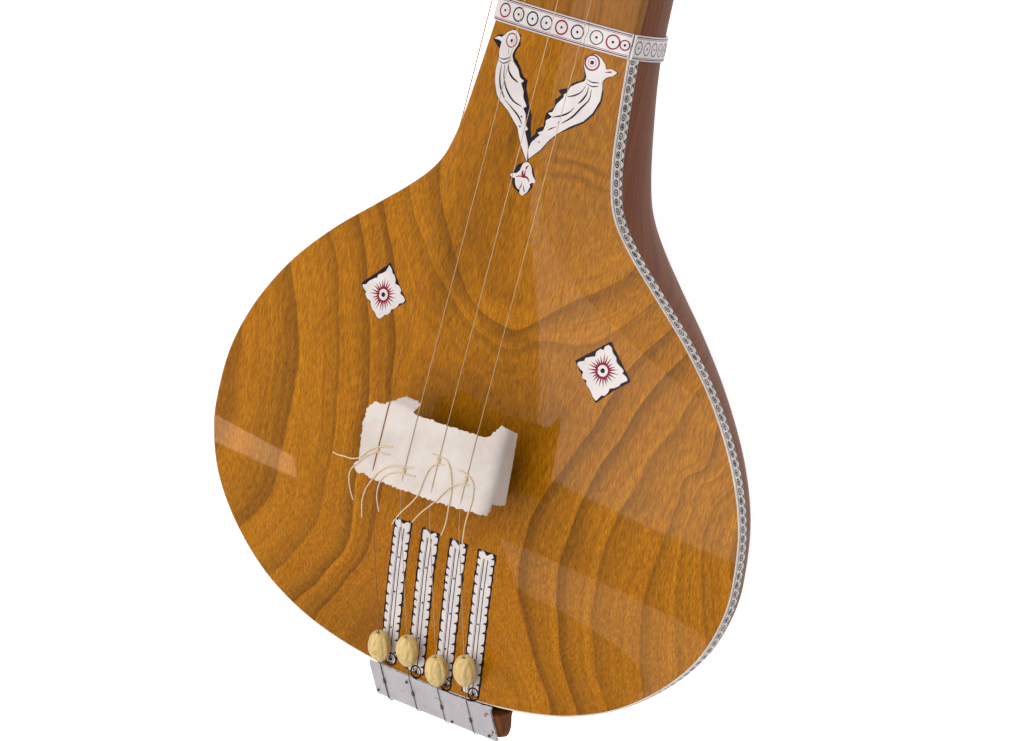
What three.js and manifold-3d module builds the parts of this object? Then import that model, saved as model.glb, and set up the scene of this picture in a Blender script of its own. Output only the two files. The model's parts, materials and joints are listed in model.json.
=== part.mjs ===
// A four-string tanpura with a carved wooden body and a long hollow neck.
// Millimetres. +Y runs up the neck to the pegs, +Z out of the soundboard, X across the strings.
// The origin is on the flat of the back, under the widest place of the body.
import * as THREE from 'three';
import { mergeVertices } from 'three/addons/utils/BufferGeometryUtils.js';
import Module from 'manifold-3d';

const wasm = await Module();
wasm.setup();
const clamp = THREE.MathUtils.clamp;
const lerp = THREE.MathUtils.lerp;
const smoothstep = THREE.MathUtils.smoothstep;

// Body
const body_width = 260;
const tail_reach = 82.2;
const shoulder_reach = 187;
const body_depth = 80;
const back_flat_cut = 2;
const shell_wall = 6;
const board_thickness = 3.5;
const board_rise = 9;
const fall_bend_start = 51;
const tail_fall_share = 0.1;
// Neck and head
const neck_width = 65;
const neck_depth = 54;
const neck_rise = 4.8;
const neck_length = 756;
const head_width = 58;
const head_depth = 42;
const neck_wall = 6;
const cover_thickness = 4;
// Section roundness: 2 is an ellipse, less is more pointed at the keel
const body_round_share = 1.75;
const neck_round_share = 2.14;
const round_start = 60;
const round_end = 150;
// Fits
const fit_gap = 0.3;
const overrun = 20;
// Binding and bands
const binding_height = 8.2;
const binding_thickness = 1.4;
const band_length = 10;
const band_thickness = 0.8;
const inlay_thickness = 1;
const inlay_proud = 0.05;
// Inside
const joint_block_reach = 26;
const tail_block_length = 18;
const tail_block_width = 70;
const brace_width = 9;
const brace_height = 11;
const brace_place_shares = [-0.182, 0.417];
const head_block_length = 112;
const head_cap_length = 9;
// Bridge
const bridge_width = 62.2;
const bridge_middle = 1.9;
const bridge_length = 26;
const bridge_place = 14.5;
const bridge_base_width = 43.6;
const bridge_base_middle = 0.8;
const bridge_base_inset = 3;
const bridge_plate_thickness = 5;
const bridge_foot_width = 10;
const bridge_edge_radius = 2;
const bridge_arch_share = 0.55;
const paper_thickness = 0.5;
const paper_margin = 1.4;
const paper_back = -0.6;
const paper_front = 30.8;
const paper_tab_width = 13;
const paper_tab_run = 4.6;
const paper_tab_fall = 4;
const paper_tab_place = -16.5;
// Outline of the paper's flap on the right side of the bridge: y, then the drop below the top
const paper_flap = [[-0.6, 0], [30.8, 0], [36.5, 0.4], [34.7, 9.3], [5.2, 13.2], [5.4, 3.6], [1.8, 3.1]];
// Strings
const string_radius = 0.3;
const string_stand = 26;
const bridge_string_spacing = 14.6;
const nut_string_spacing = 15.6;
const winding_turns = 3;
const winding_steps = 14;
const winding_gap = 0.5;
// Tailpiece
const tailpiece_width = 66;
const tailpiece_middle = 3.8;
const tailpiece_height = 32;
const tailpiece_corner_radius = 6;
const plate_width = 62.4;
const plate_middle = 2.9;
const plate_thickness = 1;
const plate_lip = 1.6;
const plate_fall = 11.6;
const plate_run = 13.9;
const plate_fold = 3;
const plate_fold_lean_share = 0.2;
const nail_radius = 0.5;
const nail_head_radius = 0.9;
const nail_head_height = 0.45;
const nail_length = 5;
const hitch_pin_radius = 1;
const hitch_pin_length = 9;
const hitch_pin_stand = 3;
const hitch_pin_drop = 9;
// Beads
const bead_radius = 4.4;
const bead_length = 13.6;
const bead_bore_clearance = 0.35;
const bead_places = [-73, -70.2, -73.9, -68.9];
// Inlays
const strip_width = 7.4;
const strip_spacing = 14.1;
const strip_middle = 0.6;
const strip_top = -18.5;
const strip_notch = 1.6;
const strip_end_margin = 3;
const flower_reach = 12.1;
const flower_side_share = 0.418;
const flower_middle = 2;
const flower_place_share = 0.36;
const flower_lobe_share = 0.12;
const bird_inner = 0.8;
const bird_width = 29.7;
const bird_length = 48;
const bird_drop = 49.7;
const bird_lean = -2.1;
const bud_width = 12.2;
const bud_length = 13.4;
const bud_drop = 50.4;
const bud_middle = 1.5;
// Nut and string guide
const nut_setback = 143;
const nut_width = 52;
const nut_length = 5;
const nut_rise = 7;
const guide_setback = 122;
const guide_width = 54;
const guide_length = 4;
const guide_drop = 1.6;
const guide_hole_radius = 1;
const guide_top_margin = 3.5;
// Pegs
const peg_radius = 5;
const peg_tip_radius = 4;
const peg_depth = 26;
const peg_neck_length = 20;
const peg_knob_radius = 13;
const peg_knob_length = 34;
const peg_hole_clearance = 0.5;
const front_peg_setbacks = [78, 32];
const side_peg_setback = 55;
const side_peg_drop = 13;
const side_winding_stand = 5;
// Cotton threads under the strings on the bridge
const thread_radius = 0.25;
// Hand-laid routes, two free ends to each string: x, y and height above the paper, from the knot to the end
const thread_routes = [
  [[-15.5, 14.5, 0.55], [-18.5, 13.6, 0.55], [-21.9, 12.3, 0.55], [-26, 9.5, 0.55],
    [-29.4, 5.6, 0.55], [-33, 4.2, 0.6], [-37.1, 3.9, 0], [-41, 3.4, -0.8], [-44, 3.5, -2]],
  [[-15.8, 11, 0.55], [-18.8, 10.6, 0.55], [-21.9, 10.2, 0.55], [-26, 7.5, 0.55],
    [-29.3, 3.7, 0.55], [-31.8, 0.2, 0.6], [-32.2, -3, 0.2], [-31.2, -7.5, -0.7],
    [-29.1, -12, -2]],
  [[-3.5, 9.4, 0.55], [-7.3, 8.4, 0.55], [-12, 7.6, 0.55], [-16.5, 5.2, 0.55],
    [-19.6, 1.6, 0.55], [-20.9, -1.1, 0.6], [-22.8, -5, 0.3], [-23.8, -10.4, -0.5],
    [-22.9, -17.6, -2]],
  [[-1.2, 6.4, 0.55], [-7.3, 5.6, 0.55], [-11, 5, 0.55], [-14.6, 3.2, 0.55],
    [-16.6, 0.6, 0.55], [-17.3, -3, 0.5], [-17.3, -7.1, -0.3], [-16.6, -10, -1.1],
    [-15.8, -12.8, -2]],
  [[10.4, 14.6, 0.55], [7.3, 14.2, 0.55], [4.6, 12, 0.55], [3, 7, 0.55],
    [2, 0, 0.6], [0, -3.8, 0.4], [-2.9, -7.4, -0.2], [-5.8, -11.2, -1], [-8.2, -15.5, -2]],
  [[3.6, 17.4, 0.55], [7.3, 17.2, 0.55], [11.5, 16.6, 0.55], [14.6, 12, 0.55],
    [16.6, 6, 0.55], [17.2, 0.3, 0.6], [17.4, -5.8, 0], [16.6, -9.4, -1], [15.4, -12.7, -2]],
  [[23.8, 10.4, 0.55], [21.9, 10.2, 0.55], [19.4, 9.6, 0.8], [16.2, 7.3, 1.55], [13.4, 4, 0.8],
    [11, 0.4, 0.6], [8.6, -2.6, 0.5], [6.2, -5.2, 0.1], [3.4, -8.4, -0.8], [0.7, -11.9, -2]],
  [[17.6, 14.8, 0.55], [21.9, 14.4, 0.55], [25.6, 11.6, 0.55], [27, 6.5, 0.55],
    [26.8, 0.7, 0.55], [26.6, -3, 0.5], [26.4, -6.3, 0], [26.3, -9.8, -0.8], [26, -13.4, -2]],
];

// Facets
const outline_rows = 27;
const neck_rows = 7;
const depth_steps = 80;
const section_columns = 16;
const inner_columns = 12;
const front_columns = 10;
const round_sides = 12;
const small_round_sides = 8;
const arch_sides = 16;
const bowl_sides = 32;
const corner_steps = 3;
const string_sides = 5;
const thread_sides = 6;
const thread_steps = 12;
const bead_sides = 12;

const half_body = body_width / 2;
const half_neck = neck_width / 2;
const half_head = head_width / 2;
const widest_level = body_depth - back_flat_cut;
const neck_end = shoulder_reach + neck_length;
const joint_place = shoulder_reach + band_length / 2;
const head_cap_start = neck_end - head_cap_length;

// Half outline of the soundboard: shares of half the width and of the reach to the tail,
// then shares of the swell beyond the neck and of the reach to the band
const tail_outline_shares = [
  [0, -1], [0.185, -0.99], [0.375, -0.95], [0.537, -0.881], [0.704, -0.752], [0.856, -0.547],
  [0.949, -0.341], [0.996, -0.109],
];
const shoulder_outline_shares = [
  [1, 0.024], [0.976, 0.128], [0.9, 0.234], [0.754, 0.354], [0.573, 0.455], [0.372, 0.543],
  [0.232, 0.604], [0.144, 0.65], [0.096, 0.687], [0.065, 0.733], [0.04, 0.799], [0.024, 0.87],
  [0.012, 0.929], [0, 1],
];
const outline = new THREE.CatmullRomCurve3([
  ...tail_outline_shares.map(([x, y]) => new THREE.Vector3(x * half_body, y * tail_reach, 0)),
  ...shoulder_outline_shares.map(([x, y]) => (
    new THREE.Vector3(lerp(half_neck, half_body, x), y * shoulder_reach, 0))),
], false, 'centripetal').getSpacedPoints(outline_rows);

// Straight-line lookup of y in a rising list of points
function heightAt(points, y, along, value) {
  const next = clamp(points.findIndex((p) => p[along] >= y), 1, points.length - 1);
  const [a, b] = [points[next - 1], points[next]];
  return lerp(a[value], b[value], clamp((y - a[along]) / (b[along] - a[along]), 0, 1));
}

// Half width of the outline, from the tail to the head
function halfWidth(y) {
  if (y > shoulder_reach) return lerp(half_neck, half_head, (y - shoulder_reach) / neck_length);
  return y > outline.at(-1).y ? half_neck : heightAt(outline, y, 'y', 'x');
}

// Height of the soundboard's edge: level along the neck, then falling to the tail
function edgeLevel(y) {
  const bend = shoulder_reach - fall_bend_start;
  const past = clamp(y - fall_bend_start, 0, bend);
  const straight = Math.min(y, fall_bend_start);
  return widest_level + tail_fall_share * (straight + past - past * past / (2 * bend));
}

// Crown of the front above its edges, at the middle
function frontRise(y) {
  if (y < 0) return board_rise * Math.max(0, 1 - (y / tail_reach) ** 2) ** 1.5;
  return lerp(board_rise, neck_rise, smoothstep(y, 0, shoulder_reach));
}

function frontTop(x, y) {
  const across = Math.min(1, Math.abs(x) / halfWidth(y));
  return edgeLevel(y) + frontRise(y) * (1 - across * across);
}

// Depth of the back below the edge
const depth_shares = [[0.3, 1], [0.59, 0.72], [0.8, 0.33], [1, 0]];
const neck_taper_share = 0.1;
const neck_thinning_share = 0.4;
const depth_curve = new THREE.CatmullRomCurve3([
  new THREE.Vector3(0, body_depth, 0),
  ...depth_shares.map(([y, d]) => (
    new THREE.Vector3(y * shoulder_reach, lerp(neck_depth, body_depth, d), 0))),
  new THREE.Vector3(
    lerp(shoulder_reach, neck_end, neck_taper_share),
    lerp(neck_depth, head_depth, neck_thinning_share), 0),
  new THREE.Vector3(neck_end, head_depth, 0),
], false, 'centripetal').getSpacedPoints(depth_steps);

function roundness(y) {
  return lerp(body_round_share, neck_round_share, smoothstep(y, round_start, round_end));
}

function backDepth(y) {
  if (y >= 0) return heightAt(depth_curve, y, 'x', 'y');
  const power = body_round_share;
  return body_depth * Math.max(0, 1 - (-y / tail_reach) ** power) ** (1 / power);
}

// One place along the body, drawn in by an inset all round
function station(y, inset) {
  const pull = y < 0 ? inset / tail_reach : 0;
  const half = y < 0 ? halfWidth(y) * (1 - inset / half_body) : halfWidth(y) - inset;
  const depth = y < 0 ? backDepth(y) * (1 - inset / body_depth) : backDepth(y) - inset;
  const at = y * (1 - pull);
  return { y: at, half, depth, level: edgeLevel(at), power: roundness(y) };
}

const body_places = [...outline.slice(1).map((p) => p.y), joint_place - fit_gap / 2];
const band_end = joint_place + band_length / 2;
const neck_places = [
  joint_place + fit_gap / 2,
  ...Array.from({ length: neck_rows + 1 }, (_, i) => (
    lerp(band_end, head_cap_start - fit_gap, i / neck_rows))),
];

// Closed meshes and booleans
function closedGeometry(vertices, triangles) {
  const geometry = new THREE.BufferGeometry();
  let volume = 0;
  for (const [a, b, c] of triangles) {
    volume += vertices[a].dot(vertices[b].clone().cross(vertices[c]));
  }
  const index = triangles.flatMap(([a, b, c]) => (volume > 0 ? [a, b, c] : [a, c, b]));
  geometry.setAttribute('position', new THREE.Float32BufferAttribute(
    vertices.flatMap((v) => [v.x, v.y, v.z]), 3));
  geometry.setIndex(index);
  return geometry;
}

// Flat end of a loft, split into triangles in the plane that it faces most
function capTriangles(ring) {
  const normal = new THREE.Vector3();
  ring.forEach((p, i) => normal.add(p.clone().cross(ring[(i + 1) % ring.length])));
  const size = [Math.abs(normal.x), Math.abs(normal.y), Math.abs(normal.z)];
  const skip = size.indexOf(Math.max(...size));
  const [u, v] = [['y', 'z'], ['x', 'z'], ['x', 'y']][skip];
  return THREE.ShapeUtils.triangulateShape(ring.map((p) => new THREE.Vector2(p[u], p[v])), []);
}

// Solid through a row of rings with the same number of points
function loft(rings) {
  const count = rings[0].length;
  const triangles = [];
  for (let i = 0; i + 1 < rings.length; i += 1) {
    for (let j = 0; j < count; j += 1) {
      const [a, b] = [i * count + j, i * count + (j + 1) % count];
      triangles.push([a, b, b + count], [a, b + count, a + count]);
    }
  }
  const last = (rings.length - 1) * count;
  const start = capTriangles(rings[0]);
  // Both caps must join the sides: their turning is taken from the first side edge
  const forward = start.some(([a, b, c]) => (
    [[a, b], [b, c], [c, a]].some(([p, q]) => p === 0 && q === 1)));
  const end = capTriangles(rings.at(-1));
  const endForward = end.some(([a, b, c]) => (
    [[a, b], [b, c], [c, a]].some(([p, q]) => p === 0 && q === 1)));
  start.forEach(([a, b, c]) => triangles.push(forward ? [a, c, b] : [a, b, c]));
  end.forEach(([a, b, c]) => (
    triangles.push(endForward ? [last + a, last + b, last + c] : [last + a, last + c, last + b])));
  return closedGeometry(rings.flat(), triangles);
}

function toSolid(source) {
  const geometry = source.clone();
  geometry.deleteAttribute('normal');
  geometry.deleteAttribute('uv');
  const merged = mergeVertices(geometry);
  return new wasm.Manifold(new wasm.Mesh({
    numProp: 3,
    vertProperties: new Float32Array(merged.attributes.position.array),
    triVerts: new Uint32Array(merged.index.array),
  }));
}

function toGeometry(solid) {
  const mesh = solid.getMesh();
  const geometry = new THREE.BufferGeometry();
  geometry.setAttribute('position', new THREE.BufferAttribute(mesh.vertProperties, 3));
  geometry.setIndex(new THREE.BufferAttribute(mesh.triVerts, 1));
  return geometry;
}

function block(x0, x1, y0, y1, z0, z1) {
  const geometry = new THREE.BoxGeometry(x1 - x0, y1 - y0, z1 - z0);
  geometry.translate((x0 + x1) / 2, (y0 + y1) / 2, (z0 + z1) / 2);
  return toSolid(geometry);
}

// Round bar from one point to another
function bar(from, to, radius, sides = round_sides) {
  const direction = to.clone().sub(from);
  const geometry = new THREE.CylinderGeometry(radius, radius, direction.length(), sides);
  geometry.applyQuaternion(new THREE.Quaternion().setFromUnitVectors(
    new THREE.Vector3(0, 1, 0), direction.normalize()));
  geometry.translate(...from.clone().add(to).multiplyScalar(0.5).toArray());
  return toSolid(geometry);
}

// Upright prism of an outline in X and Y
function prism(points, z0, z1) {
  const geometry = new THREE.ExtrudeGeometry(new THREE.Shape(points), {
    depth: z1 - z0, bevelEnabled: false,
  });
  geometry.translate(0, 0, z0);
  return toSolid(geometry);
}

// Prism along X of an outline in Y and Z
function sideways(points, x0, x1) {
  const geometry = new THREE.ExtrudeGeometry(new THREE.Shape(points), {
    depth: x1 - x0, bevelEnabled: false,
  });
  geometry.rotateX(Math.PI / 2);
  geometry.rotateZ(Math.PI / 2);
  geometry.translate(x0, 0, 0);
  return toSolid(geometry);
}

// An outline moved outward by a distance
function grown(points, distance) {
  const sign = THREE.ShapeUtils.area(points) > 0 ? 1 : -1;
  return points.map((p, i) => {
    const before = points[(i + points.length - 1) % points.length];
    const after = points[(i + 1) % points.length];
    const first = p.clone().sub(before).normalize();
    const second = after.clone().sub(p).normalize();
    const normal = new THREE.Vector2(first.y + second.y, -first.x - second.x).normalize();
    return p.clone().addScaledVector(normal, sign * distance);
  });
}

// Rounded back section at a station, closed straight across at the edge level
function backRing(place, columns = section_columns) {
  return Array.from({ length: columns + 1 }, (_, j) => {
    const turn = Math.PI * j / columns;
    const wide = Math.abs(Math.cos(turn)) ** (2 / place.power) * Math.sign(Math.cos(turn));
    const deep = Math.sin(turn) ** (2 / place.power);
    return new THREE.Vector3(wide * place.half, place.y, place.level - deep * place.depth);
  });
}

// Solid body of the back for a list of places, raised above its edge by lift
function backSolid(places, inset, lift = 0, columns = section_columns) {
  return toSolid(loft(places.map((y) => {
    const place = station(y, inset);
    const ring = backRing(place, columns);
    const raised = [...ring].reverse().filter((_, j) => j === 0 || j === columns)
      .map((p) => new THREE.Vector3(p.x, p.y, place.level + lift));
    return lift > 0 ? [...ring, ...raised] : ring;
  })));
}

// Everything above the edge level plus an offset
const far = body_width;
function aboveEdge(offset) {
  return toSolid(loft([-far, ...body_places, ...neck_places, neck_end + overrun].map((y) => {
    const z = edgeLevel(clamp(y, -tail_reach - overrun, neck_end)) + offset;
    return [
      new THREE.Vector3(-far, y, z), new THREE.Vector3(far, y, z),
      new THREE.Vector3(far, y, far), new THREE.Vector3(-far, y, far),
    ];
  })));
}

// Upright column inside the outline, drawn in by an inset
function column(inset) {
  const places = [...body_places, joint_place + overrun];
  return toSolid(loft(places.map((y) => {
    const place = station(y, inset);
    return [[-1, -overrun], [1, -overrun], [1, far], [-1, far]].map(([side, z]) => (
      new THREE.Vector3(side * place.half, place.y, z)));
  })));
}

// Layer that follows the crowned front between two offsets from it
function frontLayer(places, inset, low, high) {
  return loft(places.map((y) => {
    const place = station(y, inset);
    const row = Array.from({ length: front_columns + 1 }, (_, k) => {
      const x = place.half * (2 * k / front_columns - 1);
      return new THREE.Vector3(x, place.y, frontTop(x, place.y));
    });
    const lift = (offset) => (p) => new THREE.Vector3(p.x, p.y, p.z + offset);
    return [...row.map(lift(high)), ...[...row].reverse().map(lift(low))];
  }));
}

const board_inset = binding_thickness + fit_gap;
const board_layer = (low, high) => toSolid(frontLayer(body_places, board_inset, low, high));

// Shell of the body
const outer_body = backSolid(body_places, 0);
const back_flat = block(-far, far, -far, far, -overrun, 0);
const seat = aboveEdge(-board_thickness - fit_gap);
const binding_seat = aboveEdge(-binding_height - fit_gap).subtract(column(board_inset));
const inside = (inset, lift = 0) => backSolid(
  [...body_places.slice(0, -1), joint_place + overrun], inset, lift, inner_columns);
const body_shell = outer_body
  .subtract(inside(shell_wall, overrun))
  .subtract(seat)
  .subtract(binding_seat)
  .subtract(back_flat);

// Binding round the side of the body, in two halves that meet at the tail
const binding = outer_body.intersect(aboveEdge(-binding_height)).subtract(column(binding_thickness));
const binding_left = binding.intersect(block(-far, -fit_gap / 2, -far, far, 0, far));
const binding_right = binding.intersect(block(fit_gap / 2, far, -far, far, 0, far));

// Strings: x at any place, and the height along the open string
const string_numbers = [0, 1, 2, 3];
const from_middle = (i) => i - (string_numbers.length - 1) / 2;
const nut_place = neck_end - nut_setback;
const guide_place = neck_end - guide_setback;
const string_height = frontTop(0, bridge_place) + string_stand;
const bridge_front = bridge_place + bridge_length / 2;
const bridge_back = bridge_place - bridge_length / 2;
const nut_top = frontTop(0, nut_place) + nut_rise;
const string_nut_height = nut_top + fit_gap + string_radius;
const stringX = (i, y) => from_middle(i) * lerp(
  bridge_string_spacing, nut_string_spacing, clamp((y - bridge_front) / (nut_place - bridge_front), 0, 1));

// Tailpiece: a dark block on the tail, its sloping top faced with a plate
const tail_level = edgeLevel(-tail_reach);
const plate_start = -tail_reach - fit_gap;
const plate_top = tail_level + plate_lip;
const plate_length = Math.hypot(plate_run, plate_fall);
const plate_slope = new THREE.Vector2(-plate_run, -plate_fall).normalize();
const plate_normal = new THREE.Vector2(plate_slope.y, -plate_slope.x);
const onPlate = (along, above) => new THREE.Vector2(plate_start, plate_top)
  .addScaledVector(plate_slope, along).addScaledVector(plate_normal, above);
const fold_down = new THREE.Vector2(-plate_fold_lean_share, -1).normalize();
const fold_out = new THREE.Vector2(fold_down.y, -fold_down.x);
const plate_corner = onPlate(plate_length, 0);
const onFold = (down, out) => plate_corner.clone()
  .addScaledVector(fold_down, down).addScaledVector(fold_out, out);
const under_plate = -plate_thickness - fit_gap;
const block_corner = onPlate(plate_length + under_plate, under_plate);
const tailpiece_profile = [
  onPlate(-overrun, under_plate),
  block_corner,
  new THREE.Vector2(block_corner.x, 0),
  new THREE.Vector2(0, 0),
];
const tailpiece_left = tailpiece_middle - tailpiece_width / 2;
const tailpiece_right = tailpiece_middle + tailpiece_width / 2;
const corner_y = block_corner.x + tailpiece_corner_radius;
const tailpiece_plan = new THREE.Path();
tailpiece_plan.moveTo(tailpiece_left, 0);
tailpiece_plan.absarc(tailpiece_left + tailpiece_corner_radius, corner_y,
  tailpiece_corner_radius, Math.PI, 1.5 * Math.PI);
tailpiece_plan.absarc(tailpiece_right - tailpiece_corner_radius, corner_y,
  tailpiece_corner_radius, 1.5 * Math.PI, 2 * Math.PI);
tailpiece_plan.lineTo(tailpiece_right, 0);
// Seen from the tail, the block is flat above and rounded below
const tailpiece_bowl = new THREE.CylinderGeometry(1, 1, far, bowl_sides);
tailpiece_bowl.scale(tailpiece_width / 2, 1, tailpiece_height);
tailpiece_bowl.translate(tailpiece_middle, -far / 2, plate_top);

const hitch_height = block_corner.y - hitch_pin_drop;
const hitch_tip = block_corner.x - hitch_pin_stand;
const hitch_pins = string_numbers.map((i) => ({
  from: new THREE.Vector3(stringX(i, 0), hitch_tip + hitch_pin_length, hitch_height),
  to: new THREE.Vector3(stringX(i, 0), hitch_tip, hitch_height),
}));
const nail_shares = [[-0.92, 0.82], [-0.41, 0.22], [0.26, 0.9], [0.88, 0.86]];
const nails = nail_shares.map(([across, along]) => {
  const at = (above) => {
    const p = onPlate(along * plate_length, above);
    return new THREE.Vector3(plate_middle + across * plate_width / 2, p.x, p.y);
  };
  return { head: at(fit_gap), top: at(fit_gap + nail_head_height), tip: at(-nail_length) };
});
const tail_holes = [
  ...hitch_pins.map(({ from, to }) => {
    const deeper = from.clone().add(new THREE.Vector3(0, fit_gap, 0));
    return bar(deeper, to, hitch_pin_radius + fit_gap);
  }),
  ...nails.map(({ tip, top }) => (
    bar(tip.clone().add(tip.clone().sub(top).setLength(fit_gap)), top,
      nail_radius + fit_gap, small_round_sides))),
];
const cutAll = (solid, cutters) => cutters.reduce((left, cutter) => left.subtract(cutter), solid);
const tailpiece_block = cutAll(
  prism(tailpiece_plan.getPoints(corner_steps), -overrun, far)
    .intersect(sideways(tailpiece_profile, -far, far))
    .intersect(toSolid(tailpiece_bowl))
    .subtract(backSolid(body_places, -fit_gap, overrun)),
  tail_holes);
const tailpiece_plate = cutAll(sideways([
  onPlate(0, 0),
  plate_corner,
  onFold(plate_fold, 0),
  onFold(plate_fold, -plate_thickness),
  onPlate(plate_length - plate_thickness, -plate_thickness),
  onPlate(plate_thickness, -plate_thickness),
], plate_middle - plate_width / 2, plate_middle + plate_width / 2), tail_holes);
const nailSolid = ({ head, top, tip }) => bar(head, top, nail_head_radius, small_round_sides)
  .add(bar(tip, top, nail_radius, small_round_sides));

// Inlays set flush into the soundboard, each in its own pocket
const vectors = (points) => points.map(([x, y]) => new THREE.Vector2(x, y));
const strip_end = -tail_reach + strip_end_margin;
const stripOutline = (i) => {
  const middle = strip_middle + from_middle(i) * strip_spacing;
  const half = strip_width / 2;
  return vectors([
    [middle - half, strip_end], [middle + half, strip_end], [middle + half, strip_top],
    [middle, strip_top - strip_notch], [middle - half, strip_top],
  ]);
};
const flower_side = half_body * flower_side_share;
const flower_place = shoulder_reach * flower_place_share;
const bird_place = shoulder_reach - bird_drop;
const bud_place = shoulder_reach - bud_drop;
const flower_points = 24;
const flowerOutline = (middle) => Array.from({ length: flower_points }, (_, k) => {
  const turn = 2 * Math.PI * k / flower_points;
  const side = Math.abs(Math.cos(turn)) + Math.abs(Math.sin(turn));
  const reach = flower_reach / side * (1 - flower_lobe_share * (k % 2));
  return new THREE.Vector2(middle + reach * Math.cos(turn), flower_place + reach * Math.sin(turn));
});
const bird_shares = [
  [0, 0], [0.01, 0.11], [0.03, 0.18], [0.08, 0.235], [0.02, 0.26], [0.11, 0.29], [0.11, 0.35],
  [0.17, 0.415], [0.11, 0.44], [0.21, 0.525], [0.31, 0.6], [0.3, 0.63], [0.37, 0.68],
  [0.54, 0.755], [0.55, 0.805], [0.49, 0.94], [0.56, 1], [0.64, 1], [0.72, 0.97], [0.8, 0.935],
  [0.825, 0.905], [0.94, 0.92], [1, 0.9], [0.9, 0.87], [0.85, 0.85], [0.82, 0.82],
  [0.865, 0.69], [0.83, 0.575], [0.7, 0.455], [0.44, 0.355], [0.26, 0.26], [0.11, 0.11],
];
const birdOutline = (side) => bird_shares.map(([x, y]) => new THREE.Vector2(
  bud_middle + y * bird_lean + side * (bird_inner + x * bird_width), bird_place + y * bird_length));
const bud_shares = [
  [0, 0], [0.26, 0.03], [0.49, 0.15], [0.64, 0.28], [1, 0.44], [0.92, 0.55], [0.72, 0.57],
  [0.74, 0.71], [0.56, 0.87], [0.31, 0.88], [0.21, 0.96], [0, 1],
];
const budOutline = () => [
  ...bud_shares.map(([x, y]) => [x, y]),
  ...bud_shares.slice(1, -1).reverse().map(([x, y]) => [-x, y]),
].map(([x, y]) => new THREE.Vector2(bud_middle + x * bud_width / 2, bud_place - y * bud_length));

const inlay_outlines = {
  ...Object.fromEntries(string_numbers.map((i) => [`tail_strip_${i + 1}`, stripOutline(i)])),
  flower_inlay_left: flowerOutline(flower_middle - flower_side),
  flower_inlay_right: flowerOutline(flower_middle + flower_side),
  bird_inlay_left: birdOutline(-1),
  bird_inlay_right: birdOutline(1),
  bud_inlay: budOutline(),
};
const inlay_layer = board_layer(-inlay_thickness, inlay_proud);
const pocket_layer = board_layer(-inlay_thickness - fit_gap, overrun);
const inlays = Object.entries(inlay_outlines).map(([name, outline_points]) => (
  { name, solid: inlay_layer.intersect(prism(outline_points, 0, far)) }));
const pockets = Object.values(inlay_outlines).map((points) => (
  pocket_layer.intersect(prism(grown(points, fit_gap), 0, far))));
const soundboard = cutAll(board_layer(-board_thickness, 0), pockets);

// Blocks and braces under the soundboard
const under_board = board_layer(-board_thickness - fit_gap - brace_height, -board_thickness - fit_gap);
const brace_places = brace_place_shares.map((share) => share * shoulder_reach);
const braces = brace_places.map((y) => under_board
  .intersect(block(-far, far, y - brace_width / 2, y + brace_width / 2, 0, far))
  .intersect(inside(shell_wall + fit_gap, overrun)));
const tail_block = inside(shell_wall + fit_gap)
  .intersect(block(-tail_block_width / 2, tail_block_width / 2,
    -far, -tail_reach + shell_wall + tail_block_length, 0, far))
  .subtract(aboveEdge(-board_thickness - fit_gap));
const joint_places = [-joint_block_reach, -joint_block_reach / 2, 0, joint_block_reach]
  .map((reach) => joint_place + reach);
const joint_block = backSolid(joint_places, Math.max(shell_wall, neck_wall) + fit_gap, 0, inner_columns)
  .subtract(aboveEdge(-Math.max(board_thickness, cover_thickness) - fit_gap));

// Neck
const cover_seat = aboveEdge(-cover_thickness - fit_gap);
const neck_outer = backSolid(neck_places, 0);
const neck_inner = backSolid(
  [joint_place - overrun, ...neck_places, neck_end + overrun], neck_wall, overrun, inner_columns);
const neck_cover_plain = toSolid(frontLayer(neck_places, 0, -overrun, 0))
  .intersect(aboveEdge(-cover_thickness));
const clear_of_front = toSolid(frontLayer(neck_places, -overrun, -overrun, fit_gap));

// Nut and string guide stand on the neck, the strings pass over one and through the other
const string_guide_height = string_nut_height - guide_drop;
const standing = (width, y, length, top) => block(
  -width / 2, width / 2, y - length / 2, y + length / 2, edgeLevel(y) - cover_thickness, top)
  .subtract(clear_of_front);
const nut = standing(nut_width, nut_place, nut_length, nut_top);
const string_guide = cutAll(
  standing(guide_width, guide_place, guide_length, string_guide_height + guide_top_margin),
  string_numbers.map((i) => bar(
    new THREE.Vector3(stringX(i, guide_place), guide_place - overrun, string_guide_height),
    new THREE.Vector3(stringX(i, guide_place), guide_place + overrun, string_guide_height),
    guide_hole_radius, small_round_sides)));

// Pegs: two stand out of the front for the middle strings, one out of each side for the outer
const winding_radius = peg_radius + fit_gap + string_radius;
const winding_pitch = 2 * string_radius + winding_gap;
const peg_set = string_numbers.map((i) => {
  const side = Math.sign(from_middle(i));
  if (i === 1 || i === 2) {
    const y = neck_end - front_peg_setbacks[i - 1];
    const x = stringX(i, guide_place) + side * winding_radius;
    return {
      axis: new THREE.Vector3(0, 0, 1),
      at: new THREE.Vector3(x, y, string_guide_height),
      stand: string_guide_height - frontTop(x, y),
      side,
    };
  }
  const y = neck_end - side_peg_setback;
  const x = side * (halfWidth(y) + side_winding_stand);
  return {
    axis: new THREE.Vector3(side, 0, 0),
    at: new THREE.Vector3(x, y, edgeLevel(y) - side_peg_drop),
    stand: side_winding_stand,
    side,
  };
});
const knob_shares = [
  [0.42, 0.06], [0.62, 0.14], [0.62, 0.2], [0.44, 0.26], [0.82, 0.42], [1, 0.58], [0.9, 0.76],
  [0.5, 0.9], [0.22, 0.94], [0.2, 0.99], [0, 1],
];
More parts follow.
